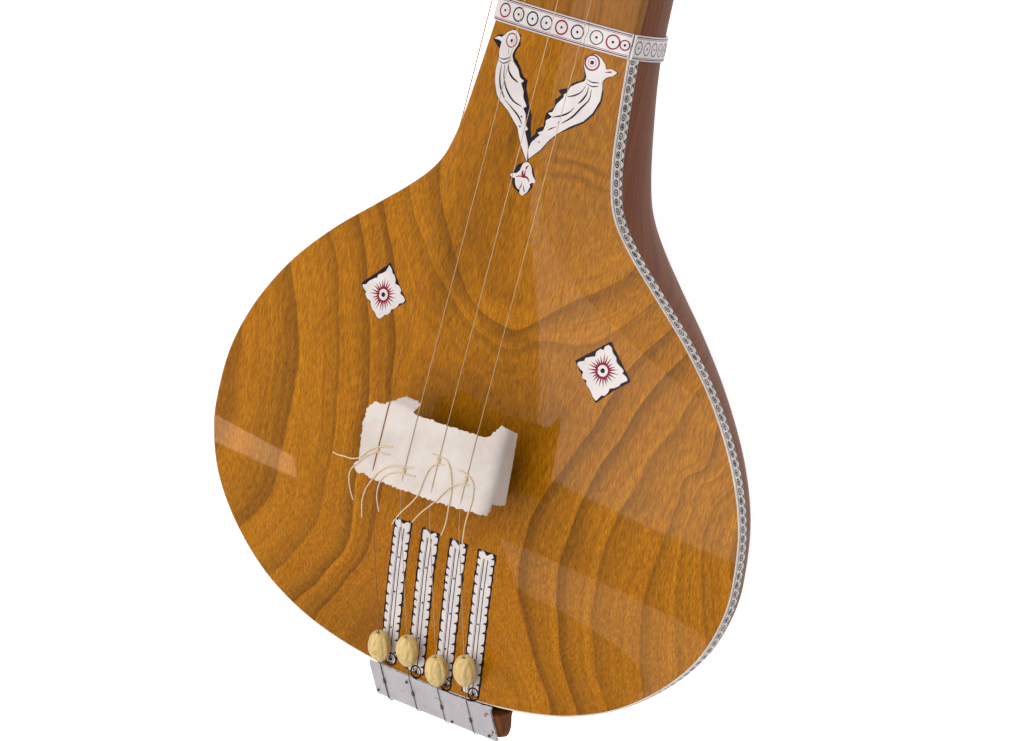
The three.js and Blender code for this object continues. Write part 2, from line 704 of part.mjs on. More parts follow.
function pegSolid({ axis, at, stand }) {
  const inner = stand + peg_depth;
  const points = [
    [0, -inner], [peg_tip_radius, -inner],
    [peg_radius, -peg_radius], [peg_radius, peg_neck_length / 2],
    ...knob_shares.map(([r, t]) => [r * peg_knob_radius, peg_neck_length / 2 + t * peg_knob_length]),
  ];
  const geometry = new THREE.LatheGeometry(vectors(points), round_sides);
  geometry.applyQuaternion(new THREE.Quaternion().setFromUnitVectors(new THREE.Vector3(0, 1, 0), axis));
  geometry.translate(...at.toArray());
  return toSolid(geometry);
}
const peg_holes = peg_set.map(({ axis, at, stand }) => bar(
  at.clone().addScaledVector(axis, -stand - peg_depth - fit_gap),
  at.clone().addScaledVector(axis, overrun), peg_radius + peg_hole_clearance));

const neck_shell = cutAll(neck_outer.subtract(neck_inner).subtract(cover_seat), peg_holes);
const neck_cover = cutAll(neck_cover_plain, peg_holes);
const head_block_places = [head_cap_start - fit_gap - head_block_length, head_cap_start - fit_gap];
const head_block = cutAll(
  backSolid(head_block_places, neck_wall + fit_gap, 0, inner_columns).subtract(cover_seat), peg_holes);

// Rounded cap on the end of the head
const cap_shares = [[0, 0], [0.55, 0.03], [0.85, 0.1], [1, 0.25]];
const head_cap = toSolid(loft(cap_shares.map(([along, inset]) => {
  const y = head_cap_start + along * head_cap_length;
  const drawn_in = inset * half_head / 2;
  const place = station(head_cap_start, drawn_in);
  const ring = backRing(place, inner_columns)
    .map((p) => new THREE.Vector3(p.x, y, p.z - drawn_in / 2));
  const crown = Array.from({ length: front_columns - 1 }, (_, k) => (
    place.half * (2 * (k + 1) / front_columns - 1)));
  return [...ring, ...crown.map((x) => (
    new THREE.Vector3(x, y, frontTop(x, head_cap_start) - drawn_in / 2)))];
})));

// Carved bands over the joint of body and neck
const band_places = [joint_place - band_length / 2, joint_place, band_end];
const neck_band_front = toSolid(frontLayer(band_places, 0, fit_gap, fit_gap + band_thickness));
const neck_band_back = toSolid(loft(band_places.map((y) => [
  ...backRing(station(y, -fit_gap - band_thickness)),
  ...backRing(station(y, -fit_gap)).reverse(),
])));

// Bridge: a plate on an arched foot, under a sheet of paper
const paper_top = string_height - string_radius - 2 * fit_gap - 2 * thread_radius;
const bridge_top = paper_top - paper_thickness - fit_gap;
const bridge_left = bridge_middle - bridge_width / 2;
const bridge_right = bridge_middle + bridge_width / 2;
const foot_top = bridge_top - bridge_plate_thickness - fit_gap;
const bridge_plate = sideways([
  [bridge_back, foot_top + fit_gap], [bridge_front, foot_top + fit_gap],
  [bridge_front, bridge_top - bridge_edge_radius], [bridge_front - bridge_edge_radius, bridge_top],
  [bridge_back + bridge_edge_radius, bridge_top], [bridge_back, bridge_top - bridge_edge_radius],
].map(([y, z]) => new THREE.Vector2(y, z)), bridge_left, bridge_right);
const arch_height = (foot_top - frontTop(0, bridge_place)) * bridge_arch_share;
const bridge_arch = new THREE.CylinderGeometry(1, 1, 2 * far, arch_sides);
bridge_arch.scale(bridge_base_width / 2 - bridge_foot_width, 1, arch_height);
bridge_arch.translate(bridge_base_middle, 0, frontTop(0, bridge_place));
const clear_of_board = board_layer(-overrun, fit_gap);
const bridge_base = block(
  bridge_base_middle - bridge_base_width / 2, bridge_base_middle + bridge_base_width / 2,
  bridge_back + bridge_base_inset, bridge_front - bridge_base_inset,
  edgeLevel(bridge_back), foot_top).subtract(clear_of_board).subtract(toSolid(bridge_arch));
const paper_right = bridge_right + fit_gap;
const paper_fold = paper_right + paper_thickness;
const paper_under = paper_top - paper_thickness;
const paper_sheet = block(
  bridge_left - paper_margin, paper_fold, paper_back, paper_front, paper_under, paper_top);
const paper_side = sideways(
  paper_flap.map(([y, drop]) => new THREE.Vector2(y, paper_top - drop)), paper_right, paper_fold);
const paper_tab = sideways([
  [paper_front - paper_thickness, paper_top],
  [paper_front, paper_top],
  [paper_front + paper_tab_run, paper_top - paper_tab_fall],
  [paper_front + paper_tab_run - paper_thickness, paper_top - paper_tab_fall],
].map(([y, z]) => new THREE.Vector2(y, z)),
paper_tab_place - paper_tab_width / 2, paper_tab_place + paper_tab_width / 2);
const bridge_paper = paper_sheet.add(paper_side).add(paper_tab);

// Beads, each threaded on the slanting end of its string
const string_lip = new THREE.Vector2(plate_start, plate_top + fit_gap + string_radius);
const string_back = new THREE.Vector2(bridge_back, string_height);
const tail_run = string_back.clone().sub(string_lip);
const tailHeight = (y) => string_lip.y + tail_run.y * (y - string_lip.x) / tail_run.x;
const bead_shares = [
  [0.42, -1], [0.7, -0.82], [0.92, -0.45], [1, 0], [0.92, 0.45], [0.7, 0.82], [0.42, 1],
];
const bead_bore = string_radius + bead_bore_clearance;
function beadSolid(i) {
  const profile = [
    [bead_bore, -bead_length / 2],
    ...bead_shares.map(([r, t]) => [r * bead_radius, t * bead_length / 2]),
    [bead_bore, bead_length / 2],
    [bead_bore, -bead_length / 2],
  ];
  const geometry = new THREE.LatheGeometry(vectors(profile), bead_sides);
  const run = new THREE.Vector3(0, tail_run.x, tail_run.y).normalize();
  geometry.applyQuaternion(new THREE.Quaternion().setFromUnitVectors(new THREE.Vector3(0, 1, 0), run));
  geometry.translate(stringX(i, 0), bead_places[i], tailHeight(bead_places[i]));
  return toSolid(geometry);
}

// Closed round tube along a path
const steep_share = 0.9;
function tube(path, radius, sides) {
  return loft(path.map((p, k) => {
    const before = p.clone().sub(path[Math.max(k - 1, 0)]).normalize();
    const after = path[Math.min(k + 1, path.length - 1)].clone().sub(p).normalize();
    const along = before.add(after).normalize();
    const across = Math.abs(along.z) > steep_share
      ? new THREE.Vector3(1, 0, 0).projectOnPlane(along) : new THREE.Vector3(along.y, -along.x, 0);
    across.normalize();
    const up = across.clone().cross(along);
    return Array.from({ length: sides }, (_, j) => {
      const turn = 2 * Math.PI * j / sides;
      return p.clone().addScaledVector(across, radius * Math.cos(turn))
        .addScaledVector(up, radius * Math.sin(turn));
    });
  }));
}

// Turns of a string round its peg, from where it first touches
function windingPoints(i) {
  const { axis, at, side } = peg_set[i];
  const front = axis.z === 1;
  const guide = new THREE.Vector3(
    stringX(i, guide_place), guide_place + guide_length, string_guide_height);
  // Plane of the turns: across and along the string, seen down the peg's axis
  const u = front ? new THREE.Vector3(1, 0, 0) : new THREE.Vector3(0, 0, 1);
  const v = new THREE.Vector3(0, 1, 0);
  const away = guide.clone().sub(at);
  const [gu, gv] = [away.dot(u), away.dot(v)];
  const sense = front ? side : -1;
  const start = Math.atan2(gv, gu) - sense * Math.acos(winding_radius / Math.hypot(gu, gv));
  return Array.from({ length: winding_turns * winding_steps + 1 }, (_, k) => {
    const turn = start - sense * 2 * Math.PI * k / winding_steps;
    const climb = -winding_pitch * k / winding_steps;
    return at.clone().addScaledVector(u, winding_radius * Math.cos(turn))
      .addScaledVector(v, winding_radius * Math.sin(turn)).addScaledVector(axis, climb);
  });
}

function stringPath(i) {
  const place = ([y, z]) => new THREE.Vector3(stringX(i, y), y, z);
  const off = fit_gap + string_radius;
  const hitch = hitch_pins[i].to;
  const fold_end = onFold(plate_fold, off);
  const corner = onPlate(plate_length, off).add(onFold(0, off)).multiplyScalar(0.5);
  return [
    new THREE.Vector3(hitch.x, fold_end.x, hitch_height + hitch_pin_radius + off),
    place([fold_end.x, fold_end.y]),
    place([corner.x, corner.y]),
    place([string_lip.x, string_lip.y]),
    place([bridge_back, string_height]),
    place([bridge_front, string_height]),
    place([nut_place, string_nut_height]),
    place([guide_place - guide_length, string_guide_height]),
    place([guide_place + guide_length, string_guide_height]),
    ...windingPoints(i),
  ];
}

// Least distance between turns of one winding, less the thickness of the string
const coil = windingPoints(0);
let least = Infinity;
coil.forEach((p, a) => coil.slice(a + winding_steps / 2).forEach((q) => {
  least = Math.min(least, p.distanceTo(q) - 2 * string_radius);
}));
console.log(`least gap of a string winding to itself: ${least.toFixed(2)} mm`);

// Cotton threads: places along the bridge from each knot under a string to the free end
const threads = thread_routes.map((route) => new THREE.CatmullRomCurve3(
  route.map(([x, y, rise]) => new THREE.Vector3(x, y, paper_top + rise)),
  false, 'centripetal').getSpacedPoints(thread_steps));

// Finishes
const finishes = {
  board_wood: [0xb5762a, 0.3, 0], shell_wood: [0x6b4227, 0.35, 0], inner_wood: [0xb99467, 0.7, 0],
  inlay_white: [0xe9e6e4, 0.35, 0], binding_white: [0xd9d2c8, 0.4, 0], dark_wood: [0x4a2c1a, 0.35, 0],
  plate_white: [0xc4c6cf, 0.4, 0], steel: [0xbcbcbc, 0.3, 1], bronze: [0xa9825a, 0.3, 1],
  bone: [0xe3dac4, 0.45, 0], paper: [0xdcd7d2, 0.9, 0], bead: [0xe0c98d, 0.5, 0],
  cotton: [0xc9a470, 0.9, 0], nail: [0x55565c, 0.4, 1],
};
const materials = Object.fromEntries(Object.entries(finishes).map(
  ([name, [color, roughness, metalness]]) => (
    [name, new THREE.MeshStandardMaterial({ color, roughness, metalness })])));

const tanpura = new THREE.Group();
function place(name, finish, shape, parent = tanpura) {
  const geometry = shape.getMesh ? toGeometry(shape) : shape;
  geometry.computeVertexNormals();
  const mesh = new THREE.Mesh(geometry, materials[finish]);
  mesh.name = name;
  parent.add(mesh);
}

place('body_shell', 'shell_wood', body_shell);
place('soundboard', 'board_wood', soundboard);
place('binding_left', 'binding_white', binding_left);
place('binding_right', 'binding_white', binding_right);
place('neck_shell', 'shell_wood', neck_shell);
place('neck_cover', 'board_wood', neck_cover);
place('neck_joint_block', 'inner_wood', joint_block);
place('tail_block', 'inner_wood', tail_block);
place('soundboard_brace_lower', 'inner_wood', braces[0]);
place('soundboard_brace_upper', 'inner_wood', braces[1]);
place('head_block', 'inner_wood', head_block);
place('head_cap', 'dark_wood', head_cap);
place('neck_band_front', 'inlay_white', neck_band_front);
place('neck_band_back', 'inlay_white', neck_band_back);
place('tailpiece_block', 'dark_wood', tailpiece_block);
place('tailpiece_plate', 'plate_white', tailpiece_plate);
nails.forEach((nail, k) => place(`plate_nail_${k + 1}`, 'nail', nailSolid(nail)));
hitch_pins.forEach(({ from, to }, k) => (
  place(`hitch_pin_${k + 1}`, 'nail', bar(from, to, hitch_pin_radius, small_round_sides))));
place('bridge_base', 'dark_wood', bridge_base);
place('bridge_plate', 'bone', bridge_plate);
place('bridge_paper', 'paper', bridge_paper);
inlays.forEach(({ name, solid }) => place(name, 'inlay_white', solid));
place('nut', 'bone', nut);
place('string_guide', 'bone', string_guide);
string_numbers.forEach((i) => {
  place(`string_${i + 1}`, i === 0 ? 'bronze' : 'steel', tube(stringPath(i), string_radius, string_sides));
  place(`bead_${i + 1}`, 'bead', beadSolid(i));
  place(`tuning_peg_${i + 1}`, 'dark_wood', pegSolid(peg_set[i]));
});
threads.forEach((path, k) => {
  const name = `cotton_thread_${Math.floor(k / 2) + 1}${'ab'[k % 2]}`;
  place(name, 'cotton', tube(path, thread_radius, thread_sides));
});

export default tanpura;
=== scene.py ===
"""Looks of a four-string tanpura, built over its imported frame.

The classes hold sizes in millimetres. A mesh is turned to metres where it is written.
"""

from __future__ import annotations

import json
import logging
import math
import random
from dataclasses import dataclass
from enum import Enum
from functools import cached_property
from typing import Callable, Sequence

import bmesh
import bpy
import numpy as np
from mathutils import Matrix, Vector
from mathutils.geometry import delaunay_2d_cdt

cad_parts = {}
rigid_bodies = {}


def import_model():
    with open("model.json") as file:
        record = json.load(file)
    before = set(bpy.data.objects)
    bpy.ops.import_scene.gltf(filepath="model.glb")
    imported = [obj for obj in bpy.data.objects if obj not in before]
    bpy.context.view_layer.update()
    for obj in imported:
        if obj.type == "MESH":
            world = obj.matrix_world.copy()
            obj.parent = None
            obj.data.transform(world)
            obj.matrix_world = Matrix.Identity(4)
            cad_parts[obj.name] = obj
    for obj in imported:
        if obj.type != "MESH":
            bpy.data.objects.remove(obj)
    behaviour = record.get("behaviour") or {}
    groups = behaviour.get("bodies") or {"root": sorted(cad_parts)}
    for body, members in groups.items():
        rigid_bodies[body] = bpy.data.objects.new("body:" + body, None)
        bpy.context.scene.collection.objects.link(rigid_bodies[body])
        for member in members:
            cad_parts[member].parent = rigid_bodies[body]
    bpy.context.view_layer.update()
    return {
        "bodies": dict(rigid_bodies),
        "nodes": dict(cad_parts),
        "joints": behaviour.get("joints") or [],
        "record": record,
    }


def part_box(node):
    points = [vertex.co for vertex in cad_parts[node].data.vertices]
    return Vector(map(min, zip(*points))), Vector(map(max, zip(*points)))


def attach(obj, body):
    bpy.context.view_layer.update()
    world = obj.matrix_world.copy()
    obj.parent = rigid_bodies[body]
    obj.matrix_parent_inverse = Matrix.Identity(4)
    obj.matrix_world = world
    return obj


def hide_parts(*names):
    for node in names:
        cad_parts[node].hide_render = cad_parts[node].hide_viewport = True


LOG = logging.getLogger("tanpura")
MM = 0.001
STRINGS = (0, 1, 2, 3)
# Share of a thread's radius by which its strands swell
STRAND_SWELL = 0.22
# Levels of the undersides of inlays and of cut marks, below the surface
BEDDED, CUT_IN = -0.6, -0.05
Points = np.ndarray
Placing = Callable[[Points], Points]
Line = tuple[tuple[float, float], ...]
Filling = dict[str, object]


class Side(Enum):
    """Left or right, seen from the front with the pegs up."""

    LEFT = -1
    RIGHT = 1


class WoodMap(Enum):
    """Where a wood finish takes its ring lines from."""

    DRAWN = "drawn"
    TURNED = "turned"


def color(code: str) -> tuple[float, float, float, float]:
    """Turn a display colour into the linear values that a shader takes.

    Args:
        code: Six hexadecimal digits.

    Returns:
        Red, green, blue and an alpha of 1.
    """
    parts = [int(code[k:k + 2], 16) / 255 for k in (0, 2, 4)]
    linear = [c / 12.92 if c <= 0.04045 else ((c + 0.055) / 1.055) ** 2.4 for c in parts]
    return linear[0], linear[1], linear[2], 1.0


def smooth_line(points: Sequence[Sequence[float]], steps: int = 8) -> Points:
    """Run a centripetal Catmull-Rom curve through points.

    Args:
        points: Two or three numbers each.
        steps: Samples from one point to the next.

    Returns:
        The samples, one row each.
    """
    rows = np.asarray(points, float)
    made = []
    for i in range(len(rows) - 1):
        start, stop = rows[i], rows[i + 1]
        before = rows[i - 1] if i else 2 * start - stop
        after = rows[i + 2] if i + 2 < len(rows) else 2 * stop - start
        gap = [max(np.linalg.norm(b - a) ** 0.5, 1e-6)
               for a, b in ((before, start), (start, stop), (stop, after))]
        leave = ((start - before) / gap[0] - (stop - before) / (gap[0] + gap[1])) * gap[1]
        leave = leave + (stop - start)
        arrive = ((after - stop) / gap[2] - (after - start) / (gap[1] + gap[2])) * gap[1]
        arrive = arrive + (stop - start)
        t = np.linspace(0, 1, steps, endpoint=False)[:, None]
        made.append((2 * t**3 - 3 * t**2 + 1) * start + (t**3 - 2 * t**2 + t) * leave
                    + (3 * t**2 - 2 * t**3) * stop + (t**3 - t**2) * arrive)
    made.append(rows[-1:])
    return np.concatenate(made)


def joined(*columns: float | Points) -> Points:
    """Join columns, each of one value or many, to rows of points."""
    return np.stack(np.broadcast_arrays(*columns), 1)


def directions(line: Points) -> Points:
    """Unit directions along a line."""
    along = np.gradient(line, axis=0)
    return along / (np.linalg.norm(along, axis=1)[:, None] + 1e-12)


def distances(line: Points) -> Points:
    """Distance run from a line's start to each of its points."""
    return np.concatenate([[0], np.cumsum(np.linalg.norm(np.diff(line, axis=0), axis=1))])


def circle(center: Sequence[float], radius: float | Points, sides: int) -> Points:
    """Corner points of a round outline."""
    turn = np.linspace(0, 2 * math.pi, sides, endpoint=False)
    return joined(center[0] + radius * np.cos(turn), center[1] + radius * np.sin(turn))


def respaced(line: Points, step: float) -> Points:
    """Sample a line again at even distances.

    Args:
        line: Points of the line.
        step: Distance wanted between samples.

    Returns:
        The new samples, both ends kept.
    """
    run = distances(line)
    places = np.linspace(0, run[-1], max(2, round(run[-1] / step) + 1))
    return np.stack([np.interp(places, run, line[:, k]) for k in range(line.shape[1])], 1)


def closed(outline: Points, step: float) -> Points:
    """Sample a closed outline again at even distances."""
    return respaced(np.vstack([outline, outline[:1]]), step)[:-1]


def grown(outline: Points, distance: float | Points) -> Points:
    """Move a closed outline outward.

    Args:
        outline: Corner points in the plane.
        distance: How far, one value or one for each point.

    Returns:
        The moved outline.
    """
    before, after = np.roll(outline, 1, 0), np.roll(outline, -1, 0)
    area = (outline[:, 0] * after[:, 1] - after[:, 0] * outline[:, 1]).sum()
    first, second = outline - before, after - outline
    first /= np.linalg.norm(first, axis=1)[:, None] + 1e-9
    second /= np.linalg.norm(second, axis=1)[:, None] + 1e-9
    normal = np.stack([first[:, 1] + second[:, 1], -first[:, 0] - second[:, 0]], 1)
    normal /= np.linalg.norm(normal, axis=1)[:, None] + 1e-9
    reach = np.asarray(distance, float).reshape(-1, 1)
    return outline + np.sign(area) * normal * reach


# Shape of the body


@dataclass(frozen=True)
class BodyForm:
    """Outline, crown and depth of body and neck, the same as in the frame's source."""

    half_body: float = 130.0
    tail_reach: float = 82.2
    shoulder_reach: float = 187.0
    depth: float = 80.0
    back_flat: float = 2.0
    crown: float = 9.0
    bend_start: float = 51.0
    tail_fall: float = 0.1
    half_neck: float = 32.5
    neck_depth: float = 54.0
    neck_crown: float = 4.8
    neck_length: float = 756.0
    half_head: float = 29.0
    head_depth: float = 42.0
    body_round: float = 1.75
    neck_round: float = 2.14
    rim_reach: float = 14.0

    @property
    def neck_end(self) -> float:
        """Where the head ends."""
        return self.shoulder_reach + self.neck_length

    @cached_property
    def outline(self) -> Points:
        """Half outline of the soundboard from the tail to the band: x, y."""
        tail = [(0, -1), (0.185, -0.99), (0.375, -0.95), (0.537, -0.881), (0.704, -0.752),
                (0.856, -0.547), (0.949, -0.341), (0.996, -0.109)]
        shoulder = [(1, 0.024), (0.976, 0.128), (0.9, 0.234), (0.754, 0.354), (0.573, 0.455),
                    (0.372, 0.543), (0.232, 0.604), (0.144, 0.65), (0.096, 0.687),
                    (0.065, 0.733), (0.04, 0.799), (0.024, 0.87), (0.012, 0.929), (0, 1)]
        swell = self.half_body - self.half_neck
        points = [(x * self.half_body, y * self.tail_reach) for x, y in tail]
        points += [(self.half_neck + swell * x, y * self.shoulder_reach) for x, y in shoulder]
        return smooth_line(points, 24)

    @cached_property
    def depths(self) -> Points:
        """Depth of the back below the edge along the body and neck: y, depth."""
        deep, thin = self.depth, self.neck_depth
        points = [(0, deep)]
        points += [(y * self.shoulder_reach, thin + (deep - thin) * d)
                   for y, d in ((0.3, 1), (0.59, 0.72), (0.8, 0.33), (1, 0))]
        points += [(self.shoulder_reach + 0.1 * self.neck_length,
                    thin + (self.head_depth - thin) * 0.4), (self.neck_end, self.head_depth)]
        return smooth_line(points, 24)

    def half_width(self, y: Points) -> Points:
        """Half width of the front at y."""
        y = np.asarray(y, float)
        along = (y - self.shoulder_reach) / self.neck_length
        neck = self.half_neck + (self.half_head - self.half_neck) * along
        body = np.interp(y, self.outline[:, 1], self.outline[:, 0])
        return np.where(y > self.shoulder_reach, neck, body)

    def edge(self, y: Points) -> Points:
        """Level of the front's edge at y."""
        y = np.asarray(y, float)
        bend = self.shoulder_reach - self.bend_start
        past = np.clip(y - self.bend_start, 0, bend)
        run = np.minimum(y, self.bend_start) + past - past**2 / (2 * bend)
        return self.depth - self.back_flat + self.tail_fall * run

    def top(self, x: Points, y: Points) -> Points:
        """Height of the crowned front at x and y."""
        x, y = np.asarray(x, float), np.asarray(y, float)
        t = np.clip(y / self.shoulder_reach, 0, 1)
        ease = t * t * (3 - 2 * t)
        tail = np.maximum(0, 1 - (np.minimum(y, 0) / self.tail_reach) ** 2) ** 1.5
        rise = np.where(y < 0, self.crown * tail,
                        self.crown + (self.neck_crown - self.crown) * ease)
        across = np.minimum(1, np.abs(x) / np.maximum(self.half_width(y), 1e-6))
        return self.edge(y) + rise * (1 - across**2)

    def roundness(self, y: Points) -> Points:
        """Power of the back's rounded section at y."""
        t = np.clip((np.asarray(y, float) - 60) / 90, 0, 1)
        return self.body_round + (self.neck_round - self.body_round) * t * t * (3 - 2 * t)

    def back_depth(self, y: Points) -> Points:
        """Depth of the back below the edge at y."""
        y = np.asarray(y, float)
        p = self.body_round
        tail = self.depth * np.maximum(0, 1 - (np.maximum(-y, 0) / self.tail_reach) ** p) ** (1 / p)
        return np.where(y >= 0, np.interp(y, self.depths[:, 0], self.depths[:, 1]), tail)

    def section(self, y: float, drop: float, inset: float, columns: int) -> Points:
        """Rounded back section, from the right edge under the back to the left edge.

        Args:
            y: Place along the body.
            drop: How far below the edge level it starts.
            inset: How far it is drawn in all round.
            columns: Number of its spans.

        Returns:
            Its points.
        """
        pull = inset / self.tail_reach if y < 0 else 0.0
        half, deep = float(self.half_width(y)), float(self.back_depth(y))
        if y < 0:
            half *= 1 - inset / self.half_body
            deep *= 1 - inset / self.depth
        else:
            half, deep = half - inset, deep - inset
        at, power = y * (1 - pull), float(self.roundness(y))
        start = math.asin(min(1.0, (drop / max(deep, drop + 1e-6)) ** (power / 2)))
        turn = np.linspace(start, math.pi - start, columns + 1)
        wide = np.sign(np.cos(turn)) * np.abs(np.cos(turn)) ** (2 / power)
        low = float(self.edge(at)) - np.sin(turn) ** (2 / power) * deep
        return joined(wide * half, at, np.maximum(low, 0))

    def rim(self, lines: Points, drop: float, side: Side) -> Points:
        """Points of the side wall at a distance below the edge.

        Args:
            lines: Half outline points, x and y, to start from.
            drop: Distance below the edge.
            side: Which half.

        Returns:
            The points.
        """
        along = directions(lines)
        normal = joined(along[:, 1], -along[:, 0])
        low, high = np.zeros(len(lines)), np.full(len(lines), self.rim_reach)
        for _ in range(34):
            middle = (low + high) / 2
            at = lines - normal * middle[:, None]
            power = self.roundness(at[:, 1])
            deep = np.maximum(self.back_depth(at[:, 1]), 1e-6)
            half = np.maximum(self.half_width(at[:, 1]), 1e-6)
            out = (np.abs(at[:, 0]) / half) ** power + (drop / deep) ** power > 1
            low, high = np.where(out, middle, low), np.where(out, high, middle)
        at = lines - normal * high[:, None]
        return joined(at[:, 0] * side.value, at[:, 1], self.edge(at[:, 1]) - drop)


FORM = BodyForm()


# Meshes


class MeshBook:
    """Gathers closed surfaces in millimetres and writes them as one mesh."""

    def __init__(self) -> None:
        """Start with nothing."""
        self.points: list[Points] = []
        self.faces: list[tuple[int, ...]] = []
        self.finishes: list[int] = []
        self.count = 0

    def add(self, points: Points, faces: Sequence[Sequence[int]], finish: int = 0) -> None:
        """Add points and the faces between them.

        Args:
            points: One row each.
            faces: Corner numbers, counted from the first of these points.
            finish: Number of the material.
        """
        self.points.append(np.asarray(points, float))
        self.faces += [tuple(int(k) + self.count for k in face) for face in faces]
        self.finishes += [finish] * len(faces)
        self.count += len(points)

    def slab(self, upper: Sequence[Points], lower: Sequence[Points], finish: int = 0,
             ring: bool = False) -> None:
        """Close two grids of the same shape into one body.

        Args:
            upper: Rows of points.
            lower: The same for the other face.
            finish: Number of the material.
            ring: Whether the last row joins the first.
        """
        grids = np.array([upper, lower])
        rows, columns = grids.shape[1:3]
        size = rows * columns
        index = np.arange(size).reshape(rows, columns)
        if ring:
            index = np.vstack([index, index[:1]])
        a, b, c, d = (part.ravel() for part in (
            index[:-1, :-1], index[:-1, 1:], index[1:, 1:], index[1:, :-1]))
        faces = np.concatenate([np.stack([a, b, c, d], 1),
                                np.stack([d, c, b, a], 1) + size]).tolist()
        for edge in (index[:, 0], index[::-1, -1]):
            faces += [(p, q, q + size, p + size) for p, q in zip(edge[1:], edge[:-1])]
        if not ring:
            for edge in (index[0], index[-1, ::-1]):
                faces += [(p, q, q + size, p + size) for p, q in zip(edge[:-1], edge[1:])]
        self.add(grids.reshape(-1, 3), faces, finish)

    def loft(self, rings: Sequence[Points], finish: int = 0) -> None:
        """Skin closed rings of points and close both ends."""
        rings = np.array(rings)
        count, sides = rings.shape[:2]
        index = np.arange(count * sides).reshape(count, sides)
        after = np.roll(index, -1, 1)
        faces = np.stack([index[:-1].ravel(), after[:-1].ravel(),
                          after[1:].ravel(), index[1:].ravel()], 1).tolist()
        faces += [index[0, ::-1].tolist(), index[-1].tolist()]
        self.add(rings.reshape(-1, 3), faces, finish)

    def tube(self, path: Points, radius: float, sides: int = 8, finish: int = 0,
             lay: float = 0.0, strands: int = 0) -> None:
        """Run a round tube along a path.

        Args:
            path: Points of the centreline.
            radius: Radius of the tube.
            sides: Points round the tube.
            finish: Number of the material.
            lay: Turns of the strands for each millimetre.
            strands: Number of strands that swell the section, none where 0.
        """
        along = directions(path)
        across = np.cross(along[0], (0.1, 0.2, 1.0) if abs(along[0][2]) < 0.9 else (1.0, 0, 0))
        frames = []
        for direction in along:
            across = across - direction * across.dot(direction)
            across = across / np.linalg.norm(across)
            frames.append((across, np.cross(direction, across)))
        turn = np.linspace(0, 2 * math.pi, sides, endpoint=False)
        rings = []
        for point, run, (first, second) in zip(path, distances(path), frames):
            swell = STRAND_SWELL * np.cos(strands * (turn - 2 * math.pi * lay * run)) if strands else 0
            reach = (radius * (1 + swell) * np.ones(sides))[:, None]
            rings.append(point + reach * (np.cos(turn)[:, None] * first
                                          + np.sin(turn)[:, None] * second))
        self.loft(rings, finish)

    def lathe(self, profile: Points, place: Placing, sides: int,
              flutes: Callable[[Points, float], Points] | None = None) -> None:
        """Turn a profile of radius and height round the local Z axis.

        Args:
            profile: Radius and height, from one end to the other.
            place: Moves local points to their place.
            sides: Points round it.
            flutes: Gives a share of the radius from the turn and the height.
        """
        turn = np.linspace(0, 2 * math.pi, sides, endpoint=False)
        rings = []
        for radius, height in profile:
            share = flutes(turn, height) if flutes else 1.0
            rings.append(joined(radius * share * np.cos(turn), radius * share * np.sin(turn), height))
        self.loft(self.placed(np.array(rings), place))

    @staticmethod
    def placed(grid: Points, place: Placing) -> Points:
        """Move a grid of points to its place."""
        return place(grid.reshape(-1, 3)).reshape(grid.shape)

    def plate(self, outline: Points, place: Placing, low: float, high: float,
              finish: int = 0, step: float = 3.0) -> None:
        """Lay a thin plate of a flat outline on a surface.

        Args:
            outline: Corner points in the surface's own x and y.
            place: Takes x, y and height above the surface to points.
            low: Height of the underside.
            high: Height of the upper side.
            finish: Number of the material.
            step: Distance between the points inside it.
        """
        xs, ys = (np.arange(a + step / 2, b, step) for a, b in zip(outline.min(0), outline.max(0)))
        grid = np.array(np.meshgrid(xs, ys)).reshape(2, -1).T
        grid = grid[inside(grid, outline, step * 0.3)]
        points = [Vector(p) for p in np.concatenate([outline, grid])]
        ring = [(k, (k + 1) % len(outline)) for k in range(len(outline))]
        flat, _, faces, origin, _, _ = delaunay_2d_cdt(points, ring, [], 1, 1e-5)
        flat = np.array([tuple(p) for p in flat])
        number = {}
        for new, old in enumerate(origin):
            for k in old:
                number[k] = new
        size = len(flat)
        made = [list(face) for face in faces] + [[k + size for k in face[::-1]] for face in faces]
        for a, b in ring:
            made.append([number[b], number[a], number[a] + size, number[b] + size])
        layers = [joined(*flat.T, height) for height in (high, low)]
        self.add(place(np.concatenate(layers)), made, finish)

    def ring(self, center: Sequence[float], radius: float, width: float, place: Placing,
             low: float, high: float, finish: int = 0, sides: int = 20) -> None:
        """Lay a thin flat ring on a surface.

        Args:
            center: Its middle in the surface's own x and y.
            radius: Radius of its middle line.
            width: Width of the line.
            place: Takes x, y and height above the surface to points.
            low: Height of the underside.
            high: Height of the upper side.
            finish: Number of the material.
            sides: Points round it.
        """
        upper, lower = (np.stack([joined(*circle(center, r, sides).T, height)
                                  for r in (radius - width / 2, radius + width / 2)], 1)
                        for height in (high, low))
        self.slab(self.placed(upper, place), self.placed(lower, place), finish, ring=True)

    def stroke(self, line: Points, width: float | Points, place: Placing, low: float,
               high: float, finish: int = 0) -> None:
        """Lay a flat drawn line on a surface.

        Args:
            line: Points in the surface's own x and y.
            width: Its width, or one for each point.
            place: Takes x, y and height above the surface to points.
            low: Height of the underside.
            high: Height of the upper side.
            finish: Number of the material.
        """
        x, y = line.T
        out, up = -directions(line)[:, 1] * width / 2, directions(line)[:, 0] * width / 2
        upper, lower = (np.stack([joined(x + side * out, y + side * up, height)
                                  for side in (-1, 1)], 1) for height in (high, low))
        self.slab(self.placed(upper, place), self.placed(lower, place), finish)

